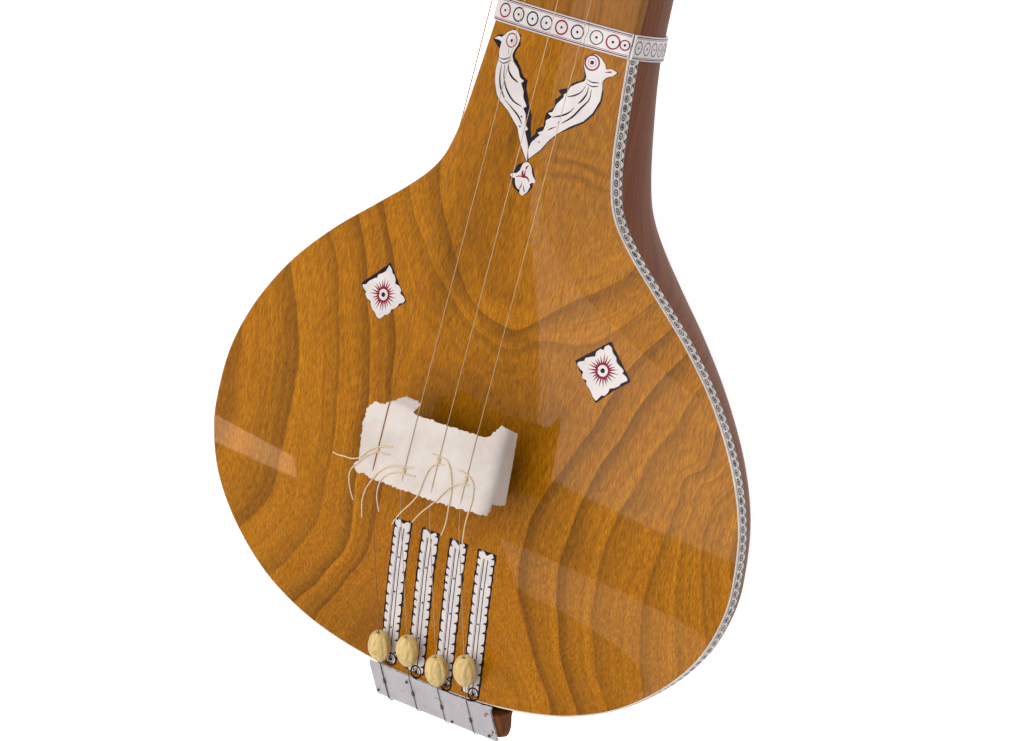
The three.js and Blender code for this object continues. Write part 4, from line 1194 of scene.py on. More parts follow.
@dataclass
class StringSet:
    """Four strings from the tail over bridge and nut to the pegs, with their cotton threads."""

    spacing: tuple[float, float] = (14.6, 15.6)
    bridge_ends: tuple[float, float] = (1.5, 27.5)
    height: float = 114.4
    nut_place: float = 800.0
    nut_rise: float = 7.6
    guide_place: float = 821.0
    guide_drop: float = 1.6
    lip: tuple[float, float] = (-82.5, 71.98)
    paper_slit: tuple[float, float] = (5.0, 113.25)
    radius: tuple[float, float, float, float] = (0.22, 0.15, 0.15, 0.15)
    tail_points: int = 12
    wound_radius: float = 5.6
    pitch: float = 1.1
    turns: int = 3
    paper_top: float = 113.0
    thread_radius: float = 0.25
    routes: tuple[tuple[tuple[float, float, float], ...], ...] = (
        ((-15.5, 14.5, 0.55), (-18.5, 13.6, 0.55), (-21.9, 12.3, 0.55), (-26, 9.5, 0.55),
         (-29.4, 5.6, 0.55), (-33, 4.2, 0.6), (-37.1, 3.9, 0), (-41, 3.4, -0.8), (-44, 3.5, -2)),
        ((-15.8, 11, 0.55), (-18.8, 10.6, 0.55), (-21.9, 10.2, 0.55), (-26, 7.5, 0.55),
         (-29.3, 3.7, 0.55), (-31.8, 0.2, 0.6), (-32.2, -3, 0.2), (-31.2, -7.5, -0.7),
         (-29.1, -12, -2)),
        ((-3.5, 9.4, 0.55), (-7.3, 8.4, 0.55), (-12, 7.6, 0.55), (-16.5, 5.2, 0.55),
         (-19.6, 1.6, 0.55), (-20.9, -1.1, 0.6), (-22.8, -5, 0.3), (-23.8, -10.4, -0.5),
         (-22.9, -17.6, -2)),
        ((-1.2, 6.4, 0.55), (-7.3, 5.6, 0.55), (-11, 5, 0.55), (-14.6, 3.2, 0.55),
         (-16.6, 0.6, 0.55), (-17.3, -3, 0.5), (-17.3, -7.1, -0.3), (-16.6, -10, -1.1),
         (-15.8, -12.8, -2)),
        ((10.4, 14.6, 0.55), (7.3, 14.2, 0.55), (4.6, 12, 0.55), (3, 7, 0.55), (2, 0, 0.6),
         (0, -3.8, 0.4), (-2.9, -7.4, -0.2), (-5.8, -11.2, -1), (-8.2, -15.5, -2)),
        ((3.6, 17.4, 0.55), (7.3, 17.2, 0.55), (11.5, 16.6, 0.55), (14.6, 12, 0.55),
         (16.6, 6, 0.55), (17.2, 0.3, 0.6), (17.4, -5.8, 0), (16.6, -9.4, -1), (15.4, -12.7, -2)),
        ((23.8, 10.4, 0.55), (21.9, 10.2, 0.55), (19.4, 9.6, 0.8), (16.2, 7.3, 1.55),
         (13.4, 4, 0.8), (11, 0.4, 0.6), (8.6, -2.6, 0.5), (6.2, -5.2, 0.1), (3.4, -8.4, -0.8),
         (0.7, -11.9, -2)),
        ((17.6, 14.8, 0.55), (21.9, 14.4, 0.55), (25.6, 11.6, 0.55), (27, 6.5, 0.55),
         (26.8, 0.7, 0.55), (26.6, -3, 0.5), (26.4, -6.3, 0), (26.3, -9.8, -0.8), (26, -13.4, -2)),
    )

    def x(self, i: int, y: float) -> float:
        """Where string i lies across the instrument at y."""
        near, wide = self.spacing
        share = min(1.0, max(0.0, (y - self.bridge_ends[1]) / (self.nut_place - self.bridge_ends[1])))
        return (i - 1.5) * (near + (wide - near) * share)

    def tail_height(self, y: float) -> float:
        """Height of the slanting run between tail and bridge at y."""
        share = (y - self.lip[0]) / (self.bridge_ends[0] - self.lip[0])
        return self.lip[1] + share * (self.height - self.lip[1])

    @property
    def nut_height(self) -> float:
        """Height of the strings over the nut."""
        return float(FORM.top(0, self.nut_place)) + self.nut_rise

    @property
    def guide_height(self) -> float:
        """Height of the strings in the guide."""
        return self.nut_height - self.guide_drop

    def peg(self, i: int) -> tuple[Vector, Vector]:
        """Find a peg.

        Args:
            i: Number of the string.

        Returns:
            The peg's axis, and the point on it where the string winds.
        """
        low, high = box_mm(f"tuning_peg_{i + 1}")
        middle = (low + high) / 2
        if i in (1, 2):
            return Vector((0, 0, 1)), Vector((middle.x, middle.y, self.guide_height))
        side = -1 if i == 0 else 1
        at = side * (float(FORM.half_width(middle.y)) + 5)
        return Vector((side, 0, 0)), Vector((at, middle.y, middle.z))

    def winding(self, i: int) -> Points:
        """Wind a string round its peg.

        Args:
            i: Number of the string.

        Returns:
            Its turns, from the guide's side inward.
        """
        axis, at = self.peg(i)
        front = i in (1, 2)
        u = Vector((1, 0, 0)) if front else Vector((0, 0, 1))
        v = Vector((0, 1, 0))
        guide = Vector((self.x(i, self.guide_place), self.guide_place + 4, self.guide_height))
        gu, gv = (guide - at).dot(u), (guide - at).dot(v)
        sense = (-1 if i < 2 else 1) if front else -1
        start = math.atan2(gv, gu) - sense * math.acos(self.wound_radius / math.hypot(gu, gv))
        steps = 28
        made = []
        for k in range(self.turns * steps + 1):
            turn = start - sense * 2 * math.pi * k / steps
            made.append(at + u * self.wound_radius * math.cos(turn)
                        + v * self.wound_radius * math.sin(turn) - axis * self.pitch * k / steps)
        return np.array(made)

    def path(self, i: int) -> Points:
        """Lead a string from its pin to its peg.

        Args:
            i: Number of the string.

        Returns:
            Its centreline.
        """
        low, high = box_mm(f"hitch_pin_{i + 1}")
        pin, near = (low + high) / 2, low.y
        plate = TailPiece()
        x0 = self.x(i, 0)
        folds = [(pin.x, near + 1.6, pin.z - 1.2), (pin.x + 1.1, near + 1.5, pin.z + 0.2),
                 (pin.x + 0.3, near + 1.4, pin.z + 1.6)]
        slope = [(x0, *plate.on_fold(2.6, 0.35)), (x0, *plate.on_fold(0.9, 0.42))]
        slope += [(x0, *plate.on_slope(along, 0.32)) for along in (17.2, 13.0, 8.0, 3.0, 0.2)]
        tail = [(x0, -80.7, self.tail_height(-80.7) + 0.05)]
        tail += [(x0, y, self.tail_height(y)) for y in (-78, -60, -40, -20, -8)]
        hop = [(x0, -3, 111.35), (x0, 1, 112.65), (x0, *self.paper_slit)]
        level, edge = self.paper_top + 0.35, 30.4
        over = [(x0, y, level) for y in (8, 14, 20, 26, edge)]
        rise = (self.nut_height - level) / (self.nut_place - edge)
        far = [(self.x(i, y), y, level + rise * (y - edge)) for y in (60, 200, 400, 600, 790)]
        at = self.guide_place
        end = [(self.x(i, self.nut_place), self.nut_place, self.nut_height),
               (self.x(i, at), at - 4, self.guide_height), (self.x(i, at), at + 4, self.guide_height)]
        return np.vstack([folds, slope, tail, hop, over, far, end, self.winding(i)])

    def build_strings(self) -> None:
        """Make the strings with the knots wound on their tail ends."""
        for i in STRINGS:
            book = MeshBook()
            path = self.path(i)
            book.tube(path[:self.tail_points], self.radius[i], 8, 1)
            book.tube(path[self.tail_points - 1:], self.radius[i], 8)
            plate = TailPiece()
            for along in (7.2 + 0.9 * i, 8.1 + 0.9 * i):
                turn = np.linspace(0, 5 * 2 * math.pi, 60)
                run = along + np.linspace(-0.7, 0.7, 60)
                line = [(self.x(i, 0) + 0.42 * math.cos(t), *plate.on_slope(a, 0.42 + 0.3 * math.sin(t)))
                        for t, a in zip(turn, run)]
                book.tube(np.array(line), 0.15, 6, 1)
            wire, slot = (STEEL, "steel") if i else (BRONZE, "bronze")
            settle(book.write(f"string_wire_{i + 1}", wire, DULL_WIRE), slot, f"string_{i + 1}")

    def build_threads(self) -> None:
        """Make the eight free ends of the cotton threads and the loops that hold them."""
        for k, route in enumerate(self.routes):
            name = f"cotton_thread_{k // 2 + 1}{'ab'[k % 2]}"
            line = smooth_line([(x, y, self.paper_top + rise) for x, y, rise in route], 10)
            line = respaced(line, 0.22)
            book = MeshBook()
            book.tube(line, self.thread_radius, 10, lay=0.55, strands=2)
            made = book.write(f"spun_{name}", COTTON)
            settle(made, "cotton", name)
        book = MeshBook()
        for i, y in ((0, 11.2), (1, 6.9), (2, 15.7), (3, 12.4)):
            turn = np.linspace(0, 4 * 2 * math.pi, 72)
            book.tube(joined(self.x(i, 0) + 0.55 * np.cos(turn), y + np.linspace(-0.9, 0.9, 72),
                             self.paper_top + 0.6 + 0.4 * np.sin(turn)), 0.22, 7)
        settle(book.write("thread_knots", COTTON), "cotton")

    def build(self) -> None:
        """Make threads and strings."""
        self.build_threads()
        self.build_strings()


# Resonator


def board_place(points: Points) -> Points:
    """Lay points given as x, y and height above the board on the crowned board."""
    x, y, above = points.T
    return joined(x, y, FORM.top(x, y) + above)


class RingMap:
    """Levels of the growth rings, smooth between lines that are given in millimetres."""

    def __init__(self, lines: Sequence[tuple[float, Line]]) -> None:
        """Fit a thin plate through the lines.

        Args:
            lines: Level and points of each line.
        """
        self.knots = np.array([point for _, line in lines for point in line], float) / 100
        levels = np.array([level for level, line in lines for _ in line], float)
        count = len(self.knots)
        system = np.zeros((count + 3, count + 3))
        system[:count, :count] = self.kernel(self.knots) + 0.002 * np.eye(count)
        system[:count, count:] = np.column_stack([np.ones(count), self.knots])
        system[count:, :count] = system[:count, count:].T
        self.weights = np.linalg.solve(system, np.concatenate([levels, np.zeros(3)]))

    def kernel(self, points: Points) -> Points:
        """Bending term between points and the knots, both in decimetres."""
        square = ((points[:, None] - self.knots[None]) ** 2).sum(2)
        return square * np.log(square + 1e-9)

    def at(self, points: Points) -> Points:
        """Levels at points given in millimetres."""
        flat = points[:, :2] / 100
        return np.column_stack([self.kernel(flat), np.ones(len(flat)), flat]) @ self.weights


@dataclass
class Resonator:
    """Carved bowl, crowned soundboard, binding and the blocks inside."""

    frame: dict
    wall: float = 6.0
    board_thickness: float = 3.5
    board_inset: float = 1.7
    binding_height: float = 8.2
    binding_thickness: float = 1.4
    front_end: float = 191.85
    board_lip: float = 0.6
    tooth: Line = ((0.5, 8.05), (1.2, 7.0), (1.85, 5.9), (2.5, 7.0), (3.2, 8.05), (1.85, 7.75))
    # Soft dark patches on the board: x, y, width, length and strength. The first, second and sixth lie
    # round the bridge and are painted shadow of the bridge; the others only darken the board where they
    # lie.
    stains_and_bridge_shadows: tuple[tuple[float, ...], ...] = (
        (14, 40, 42, 20, 0.5), (42, 18, 16, 34, 0.26), (-22, 88, 10, 30, 0.4), (-8, 145, 2.5, 9, 0.6),
        (12, 68, 14, 4, 0.5), (60, -6, 12, 14, 0.25), (15, 150, 45, 38, 0.13), (-45, -72, 30, 17, 0.22))
    lens_left: Line = (
        (-99, 58), (-101, 46), (-103, 32), (-103, 20), (-105, 6), (-106, -8), (-107, -21), (-108, -32))
    lens_right: Line = (
        (-99, 58), (-94, 47), (-90, 35), (-88, 17), (-88, 4), (-88, -9), (-89, -17), (-89, -29),
        (-94, -36), (-102, -46))
    ring_lines: tuple[tuple[float, Line], ...] = (
        (0, ((-122, 26), (-121, 12), (-118, -3))),
        (2, ((-81, 76), (-75, 60), (-70, 47), (-66, 33), (-64, 20), (-62, 7), (-62, -6), (-63, -21),
             (-70, -43), (-85, -63))),
        (3, ((-72, 89), (-66, 80), (-55, 52), (-51, 37), (-48, 24), (-49, 12), (-46, -29), (-49, -42),
             (-61, -59), (-70, -69))),
        (4, ((-58, 93), (-45, 63), (-42, 55), (-40, 43), (-39, 32), (-34, -21), (-35, -32), (-44, -49),
             (-57, -68))),
        (4, ((63, 60), (58, 44), (53, 35), (49, 26), (43, 14), (39, 3), (37, -8), (37, -19), (39, -31),
             (43, -40), (48, -50), (54, -61), (59, -68))),
        (3, ((79, 68), (73, 53), (71, 45), (65, 33), (62, 23), (59, 13), (57, 0), (55, -12), (56, -25),
             (59, -38), (61, -48), (67, -61))),
        (2, ((94, 64), (88, 49), (83, 37), (80, 25), (76, 15), (74, 4), (73, -5), (73, -18), (73, -30),
             (76, -43), (79, -54), (83, -60))),
        (1, ((107, 40), (101, 29), (99, 17), (97, 6), (95, -6), (94, -17), (95, -27), (96, -38),
             (99, -48))),
        (0, ((118, 57), (107, 38), (105, 16), (107, -5))),
        (6, ((-39, 120), (-35, 112), (-29, 104), (-24, 97), (-17, 87), (-11, 79), (-3, 74), (5, 72),
             (16, 72), (21, 76), (27, 82), (36, 90), (43, 95), (50, 101), (56, 107))),
        (5, ((-37, 93), (-19, 77), (-11, 71), (2, 65), (15, 64), (23, 70))),
        (4.4, ((2, -30), (4, -74))),
        (6.45, ((9, 92), (10, 104), (9, 118), (8, 135), (6, 178))),
    )

    def rows(self, step: float) -> Points:
        """Half outline from near the tail to under the band, in even steps."""
        line = respaced(FORM.outline, step)[1:]
        return np.vstack([line, [(FORM.half_neck, y) for y in (188.6, 190.2, self.front_end)]])

    def figure(self, points: Points) -> Points:
        """Ring levels of the board, and how much it is darkened: by its dark band, by dark patches, and by
        painted shadow round the bridge.

        Args:
            points: Points in millimetres.

        Returns:
            Ring level and darkening for each, painted shadow included.
        """
        lines = self.ring_lines + ((1.0, self.lens_right),)
        level = RingMap(lines).at(points)
        x, y = points[:, 0], points[:, 1]
        lens = inside(points[:, :2], np.array(self.lens_left + self.lens_right[::-1]), 0.0)
        stain_and_shade = 0.14 * lens
        ripples = np.exp(-((x - 24) / 13) ** 4 - ((y - 140) / 6.5) ** 4)
        level = level + 0.5 * ripples * np.sin(2 * math.pi * (y + 0.9 * np.sin(x / 5)) / 5.6)
        # Darken the board under each patch; round the bridge this is painted shadow.
        for px, py, wide, long, share in self.stains_and_bridge_shadows:
            stain_and_shade = np.maximum(stain_and_shade, share * np.exp(-((x - px) / wide) ** 2 - ((y - py) / long) ** 2))
        return joined(level, stain_and_shade)

    def build_board(self) -> None:
        """Make the soundboard with its crown, wider above than below."""
        share = np.linspace(-1, 1, 151)
        upper, lower = [], []
        for half, y in self.rows(1.8):
            for grid, inset, down in ((upper, self.board_lip, 0.0),
                                      (lower, self.board_inset, self.board_thickness)):
                if y < 0:
                    wide = half * (1 - inset / FORM.half_body)
                    along = y * (1 - inset / FORM.tail_reach)
                else:
                    wide, along = half - inset, y
                x = share * wide
                grid.append(joined(x, along, FORM.top(x, along) - down))
        book = MeshBook()
        book.slab(upper, lower)
        settle(book.write("board_skin", BOARD_WOOD, drawn=self.figure), "board_wood", "soundboard")

    def build_bowl(self) -> None:
        """Make the carved bowl with a ledge for the board and a rebate for the binding."""
        seat, rebate = self.board_thickness + 0.3, self.binding_height + 0.3
        outer, inner = [], []
        for _, y in self.rows(2.4):
            skin = FORM.section(float(y), rebate, 0.0, 64)
            ledge = FORM.section(float(y), seat, self.board_inset, 2)[[0, -1]]
            step = FORM.section(float(y), rebate, self.board_inset, 2)[[0, -1]]
            hollow = FORM.section(float(y), seat, self.wall, 64)
            outer.append(np.vstack([ledge[:1], step[:1], skin, step[1:], ledge[1:]]))
            inner.append(np.vstack([hollow[:1], hollow[:1], hollow, hollow[-1:], hollow[-1:]]))
        keep = [k for k in range(len(outer)) if outer[k][2][2] - outer[k][34][2] > 2.0]
        book = MeshBook()
        book.slab(np.array(outer)[keep], np.array(inner)[keep])
        settle(book.write("bowl_shell", SHELL_WOOD), "shell_wood", "body_shell")

    def side_strip(self) -> Points:
        """Outline points under one half of the binding."""
        line = respaced(np.vstack([FORM.outline, [(FORM.half_neck, self.front_end)]]), 2.0)
        line[0, 0] = 0.15
        return line

    def build_binding(self, side: Side) -> None:
        """Make one half of the binding with its ring dots and triangles.

        Args:
            side: Which half.
        """
        line = self.side_strip()
        drops = np.array([0.22, 1.4, 3.0, 4.5, 6.0, 7.2, self.binding_height])
        wall = np.stack([FORM.rim(line, d, side) for d in drops], 1)
        plan = directions(line)
        edge = joined(line[:, 0] * side.value, line[:, 1], FORM.edge(line[:, 1]))
        turns = [wall]
        for amount, drop in ((self.binding_thickness, self.binding_height),
                             (self.binding_thickness, self.board_thickness + 0.2),
                             (self.board_lip - 0.06, 0.0), (0.16, 0.0)):
            moved = edge - joined(plan[:, 1] * side.value * amount, -plan[:, 0] * amount, drop)
            moved[:, 0] = side.value * np.maximum(side.value * moved[:, 0], 0.12)
            turns.append(moved[:, None])
        book = MeshBook()
        book.loft(np.concatenate(turns, 1))
        self.mark_binding(book, line, side)
        name = side.name.lower()
        settle(book.write(f"binding_strip_{name}", BINDING, VIOLET_LAC, BLACK_LAC, crease=50),
               "binding_white", f"binding_{name}")

    def mark_binding(self, book: MeshBook, line: Points, side: Side) -> None:
        """Engrave the binding: two lines, a chain of ring dots, and dark triangles.

        Args:
            book: Where the marks go.
            line: Outline points.
            side: Which half.
        """
        run = distances(line)
        depths = np.linspace(0.2, self.binding_height, 9)
        wall = np.stack([FORM.rim(line, d, side) for d in depths], 1)
        plan = directions(line)
        normal = joined(plan[:, 1] * side.value, -plan[:, 0], 0.0)

        def place(points: Points) -> Points:
            """Lay run, drop and height on the side wall."""
            row = np.interp(points[:, 0], run, np.arange(len(run)))
            low = np.clip(row.astype(int), 0, len(run) - 2)
            part = (row - low)[:, None]
            down = np.clip(np.interp(points[:, 1], depths, np.arange(9)), 0, 7.9999)
            col = down.astype(int)
            rest = (down - col)[:, None]
            near = wall[low, col] * (1 - rest) + wall[low, col + 1] * rest
            far = wall[low + 1, col] * (1 - rest) + wall[low + 1, col + 1] * rest
            out = normal[low] * (1 - part) + normal[low + 1] * part
            return near * (1 - part) + far * part + out * points[:, 2:3]

        rand = random.Random(31)
        pitch, length = 3.7, run[-1]
        for drop, width in ((1.0, 0.32), (5.75, 0.26)):
            along = np.arange(1.0, length - 0.5, 2.0)
            book.stroke(joined(along, drop), width, place, CUT_IN, 0.04, 1)
        for k in range(int((length - 4) / pitch)):
            at, drop = 3.0 + k * pitch, 3.4 + 0.3 * (rand.random() - 0.5)
            book.ring((at, drop), 1.25, 0.5 + 0.14 * rand.random(), place, CUT_IN, 0.05, 1, 14)
            dot = circle((at, drop), 0.45 + 0.35 * rand.random(), 9)
            book.plate(dot, place, CUT_IN, 0.05, 2)
            book.plate(np.array(self.tooth) + (at, 0), place, CUT_IN, 0.05, 2)

    def dress_inside(self) -> None:
        """Give the blocks and braces inside their plain wood."""
        for name in ("tail_block", "soundboard_brace_lower", "soundboard_brace_upper",
                     "neck_joint_block", "head_block"):
            dress = self.frame["nodes"][name].data.materials
            dress.clear()
            dress.append(INNER_WOOD.material())
            LOG.info("%s keeps its frame solid", name)

    def build(self) -> None:
        """Make the whole resonator."""
        self.build_bowl()
        self.build_board()
        for side in Side:
            self.build_binding(side)
        self.dress_inside()


# Inlay work


@dataclass(frozen=True)
class Motif:
    """One ornament in millimetres: its sheet, extra lac beds, and what is cut into it.

    A stroke is finish, width and points. A ring is finish, x, y, radius and width. A dot is
    finish, x, y and radius.
    """

    name: str
    node: str
    sheet: Line
    beds: tuple[Line, ...] = ()
    margin: float = 0.4
    strokes: tuple[tuple[int, float, Line], ...] = ()
    rings: tuple[tuple[int, float, float, float, float], ...] = ()
    dots: tuple[tuple[int, float, float, float], ...] = ()


LEFT_BIRD = Motif(
    "bird_left", "bird_inlay_left",
    ((-25.7, 176.4), (-25.6, 178), (-25.5, 179.5), (-27.6, 180), (-30.1, 179.8), (-28.1, 181.3),
     (-26, 181.3), (-23.7, 183.9), (-21.3, 185.4), (-18.8, 185.6), (-16.4, 183.3), (-16.5, 180.7),
     (-17.9, 177.7), (-18.2, 175.6), (-16.8, 173.5), (-13.5, 171.2), (-11.7, 168.3), (-9.2, 167.3),
     (-10.4, 166.3), (-8.2, 163.4), (-7.6, 161), (-4.9, 158), (-6.4, 157.1), (-4.5, 155), (-3.5, 151.1),
     (-1.6, 149.5), (-3, 148.6), (-1.1, 145.5), (0.2, 143.2), (1.4, 137), (-3.6, 143.3), (-7, 149.2),
     (-13.6, 154.3), (-19.5, 157.5), (-21.5, 159.6), (-23.8, 163.8), (-25, 168.2), (-24.9, 171.9),
     (-25.1, 173.9)),
    (((-16.6, 185), (-15.4, 180.4), (-17, 177.4), (-17.1, 175.8), (-12.6, 172.2), (-10.3, 169.1),
      (-7.6, 168.1), (-7.3, 164.7), (-5.5, 162), (-3.7, 158.3), (-1.8, 155.7), (-0.7, 150.8),
      (1.6, 143.7), (2, 137), (0, 140), (-5, 152), (-12, 164), (-18, 172), (-19, 180)),
     ((-30.8, 179.6), (-28.2, 181.9), (-25, 182.6), (-25, 176))),
    0.3,
    ((1, 0.75, ((-22.5, 170.9), (-22.1, 167.3), (-20.3, 162.5), (-16.7, 158.4))),
     (1, 0.75, ((-20.8, 171.3), (-19.8, 166.8), (-16.9, 162.3), (-12.3, 158.7), (-7.3, 157.4))),
     (1, 0.85, ((-19.2, 172.2), (-17.9, 169.4), (-15.5, 167.4), (-11.9, 166.1))),
     (1, 0.7, ((-16.3, 158), (-11.2, 155.4), (-8, 153.6), (-5.2, 150.9))),
     (3, 0.5, ((-25, 173.2), (-22, 173.2), (-18.7, 174.9))),
     (3, 0.5, ((-25, 172.4), (-21.8, 171.6), (-18.1, 173.8))),
     (3, 0.2, ((-20.3, 182.6), (-20.3, 179.6))), (3, 0.2, ((-20.9, 178.1), (-20.4, 175.8)))),
    ((2, -20.4, 181.3, 2.75, 0.5),),
    ((3, -20.4, 181.2, 0.65), (3, -6.2, 153.6, 0.4), (3, -5.8, 149.7, 0.4)))

RIGHT_BIRD = Motif(
    "bird_right", "bird_inlay_right",
    ((1.8, 138.4), (0.6, 141.9), (1.2, 145), (3, 147.3), (4.3, 148.9), (2.9, 149.4), (5.2, 150.8),
     (5.7, 153.5), (5.3, 155.1), (7.7, 157), (5.4, 158.1), (7.3, 159), (8.1, 162.2), (10.5, 165.8),
     (10.3, 167), (11.3, 167.7), (12.4, 170.6), (14.7, 172.4), (17.7, 174.3), (17.8, 176.2),
     (15.7, 179.9), (15.2, 182.3), (16.9, 184.6), (19.3, 185.7), (21.8, 184.7), (24.2, 182.6),
     (24.9, 180.8), (27.1, 181.6), (29.7, 180.8), (28.2, 179), (25.9, 177.9), (24.7, 175.9),
     (25.5, 172.8), (25.8, 168.6), (24.1, 163.1), (21.2, 158.9), (16.2, 155.4), (11.7, 151.3),
     (8.8, 147.9), (6.2, 143.4)),
    (((0.9, 138.1), (-0.6, 142), (-0.1, 146), (2.1, 148.7), (2, 150.8), (5, 152.5), (4.4, 156.1),
      (4.4, 157.8), (7.5, 160.8), (7.1, 164.1), (9.3, 166.4), (7.2, 167.9), (11.7, 169.9),
      (12.5, 171.9), (16.9, 174.7), (16.7, 177.2), (15.2, 179.8), (19, 180), (19, 173), (14, 163),
      (9, 153), (4, 144)),
     ((26.2, 172.8), (26.5, 168.4), (24.8, 162.7), (21.7, 158.2), (16.2, 154.5), (13, 152), (18, 158),
      (24, 168))),
    0.3,
    ((1, 0.6, ((18.5, 172.2), (17, 169.4), (14.7, 167.6), (12, 166.4))),
     (1, 0.75, ((19.8, 172.3), (19.7, 169.5), (18.6, 166.9), (17.2, 165))),
     (1, 0.75, ((21.2, 171.6), (21.3, 167.8), (19, 163.8), (16.1, 159.2), (12.4, 155.7))),
     (1, 0.7, ((16, 163), (14.7, 161), (12.4, 159.1), (7.9, 157))),
     (1, 0.5, ((10.5, 153.9), (8.8, 152.8), (7.3, 151.6))),
     (3, 0.5, ((18.1, 175.2), (20.6, 174.6), (23.6, 175.1))),
     (3, 0.5, ((18.3, 173.6), (21, 173), (23.7, 173.8))),
     (2, 0.6, ((24.9, 179.7), (26.2, 180.1), (27.6, 180.6)))),
    ((2, 18.7, 182, 2.95, 0.65), (2, 18.7, 182, 1.7, 0.2)),
    ((3, 18.7, 182, 0.85), (2, 4.6, 146, 0.35), (3, 11.1, 155.8, 0.3)))

BUD = Motif(
    "bud", "bud_inlay",
    ((1.9, 137.1), (3.3, 136.5), (4.2, 135.4), (5, 133.3), (5.9, 132.1), (7.4, 131), (7.1, 129.8),
     (5.9, 129.9), (5, 128.8), (5.6, 128), (5, 126.2), (4.6, 125.2), (3.8, 124.8), (3.7, 124.2),
     (2.9, 123.7), (2.1, 123.9), (1.2, 124.7), (1.5, 125.8), (0.2, 125.7), (-0.9, 126.6),
     (-1.8, 128), (-2.1, 129.6), (-3.7, 129.5), (-4.7, 129.9), (-4.8, 130.6), (-4.2, 131.1),
     (-2.1, 131.6), (-1, 132.7), (-0.5, 134.5), (-0.3, 135.6), (0.3, 136.6)),
    (((1.8, 137.3), (3.4, 137), (4.7, 135.7), (5.8, 133.5), (6.7, 132), (7.5, 131.3), (7.6, 130.6),
      (6, 129.7), (6.9, 128.1), (5.7, 126.4), (4.7, 124.9), (1.8, 123.9), (0.2, 124.7), (-2.2, 125.9),
      (-3.2, 127.6), (-3.2, 129.3), (-4.7, 129.3), (-5.2, 130.4), (-3.9, 131.8), (-3.2, 132.6),
      (-3.1, 134), (-2.2, 135.1), (-1, 136.2)),),
    0.12,
    ((2, 0.8, ((2.6, 136), (2, 135), (1.8, 134.2))), (2, 1.1, ((0.7, 133.6), (0.7, 132.2), (1.7, 131))),
     (2, 0.6, ((1.8, 134.1), (1.8, 132.5), (2, 131))),
     (2, 0.8, ((-1.9, 130.1), (-0.2, 130.9), (1.7, 131), (3.1, 131.2), (4.7, 129.8))),
     (2, 0.5, ((1.5, 128.9), (1.4, 127.2), (0.9, 126))),
     (3, 0.4, ((2.4, 127.9), (2.9, 126.4), (3.9, 125.3)))))

LEFT_FLOWER = Motif(
    "flower_left", "flower_inlay_left",
    ((-0.4, 12.3), (1.3, 11), (2.2, 9.5), (3.3, 9.2), (4.6, 7.3), (4.5, 5.9), (6.9, 5.6), (8.4, 4.3),
     (8.3, 2.8), (10.2, 2.1), (11.5, 0.8), (10.7, -0.5), (8.8, -1.2), (8.6, -2.4), (7.1, -4), (5.6, -4.6),
     (5.3, -6.1), (4, -7.5), (2.9, -7.4), (2.4, -8.5), (0.6, -10.1), (-1.1, -9.4), (-2.1, -8.1),
     (-3.7, -7.4), (-5.3, -5.6), (-5.7, -4.3), (-7.7, -3.8), (-9.2, -2.3), (-9, -1.3), (-10.7, -0.3),
     (-11.8, 1), (-9.8, 1.6), (-8.9, 3.2), (-6, 5.4), (-5.1, 5.5), (-4.9, 7.1), (-2.9, 8.2), (-1.4, 9.5)),
    (((-0.2, 13.5), (5.5, 7.6), (12.3, 0.4), (6.2, -4.8), (0.2, -10.4), (-6, -5.2), (-12.6, 1.2),
      (-6.6, 7)),),
    0.1)

RIGHT_FLOWER = Motif(
    "flower_right", "flower_inlay_right",
    ((-0.2, 10.5), (1.5, 9.9), (2.1, 8.4), (3.1, 7.5), (4.3, 6.7), (4.9, 5), (6.1, 4.2), (8.1, 3.2),
     (9, 2.3), (8.3, 1.5), (10.4, 0.7), (11.5, -0.5), (10.6, -1.3), (8.7, -2.7), (8.6, -3.6), (6.5, -5.2),
     (4.6, -5.8), (4.6, -7.3), (3.4, -9.2), (1.8, -9.5), (1.3, -10.5), (0.1, -12.3), (-1.7, -11.1),
     (-2.8, -9.7), (-4, -8.5), (-5.7, -7.2), (-5.9, -5.7), (-7.8, -5.4), (-8.4, -4.2), (-8.1, -2.9),
     (-9.7, -2.2), (-11.6, -0.9), (-11.2, 0.4), (-8.8, 1.5), (-8.7, 2.7), (-5.8, 4.1), (-4.6, 4.5),
     (-4.7, 6.3), (-3.1, 8.1), (-1.7, 7.8), (-1.6, 9.4)),
    (((0.5, 12.2), (6.4, 6.1), (12.8, -0.6), (6.3, -6.6), (0.2, -13.2), (-6.6, -6.4), (-12.9, 0.3),
      (-6, 6.4)),),
    0.1)


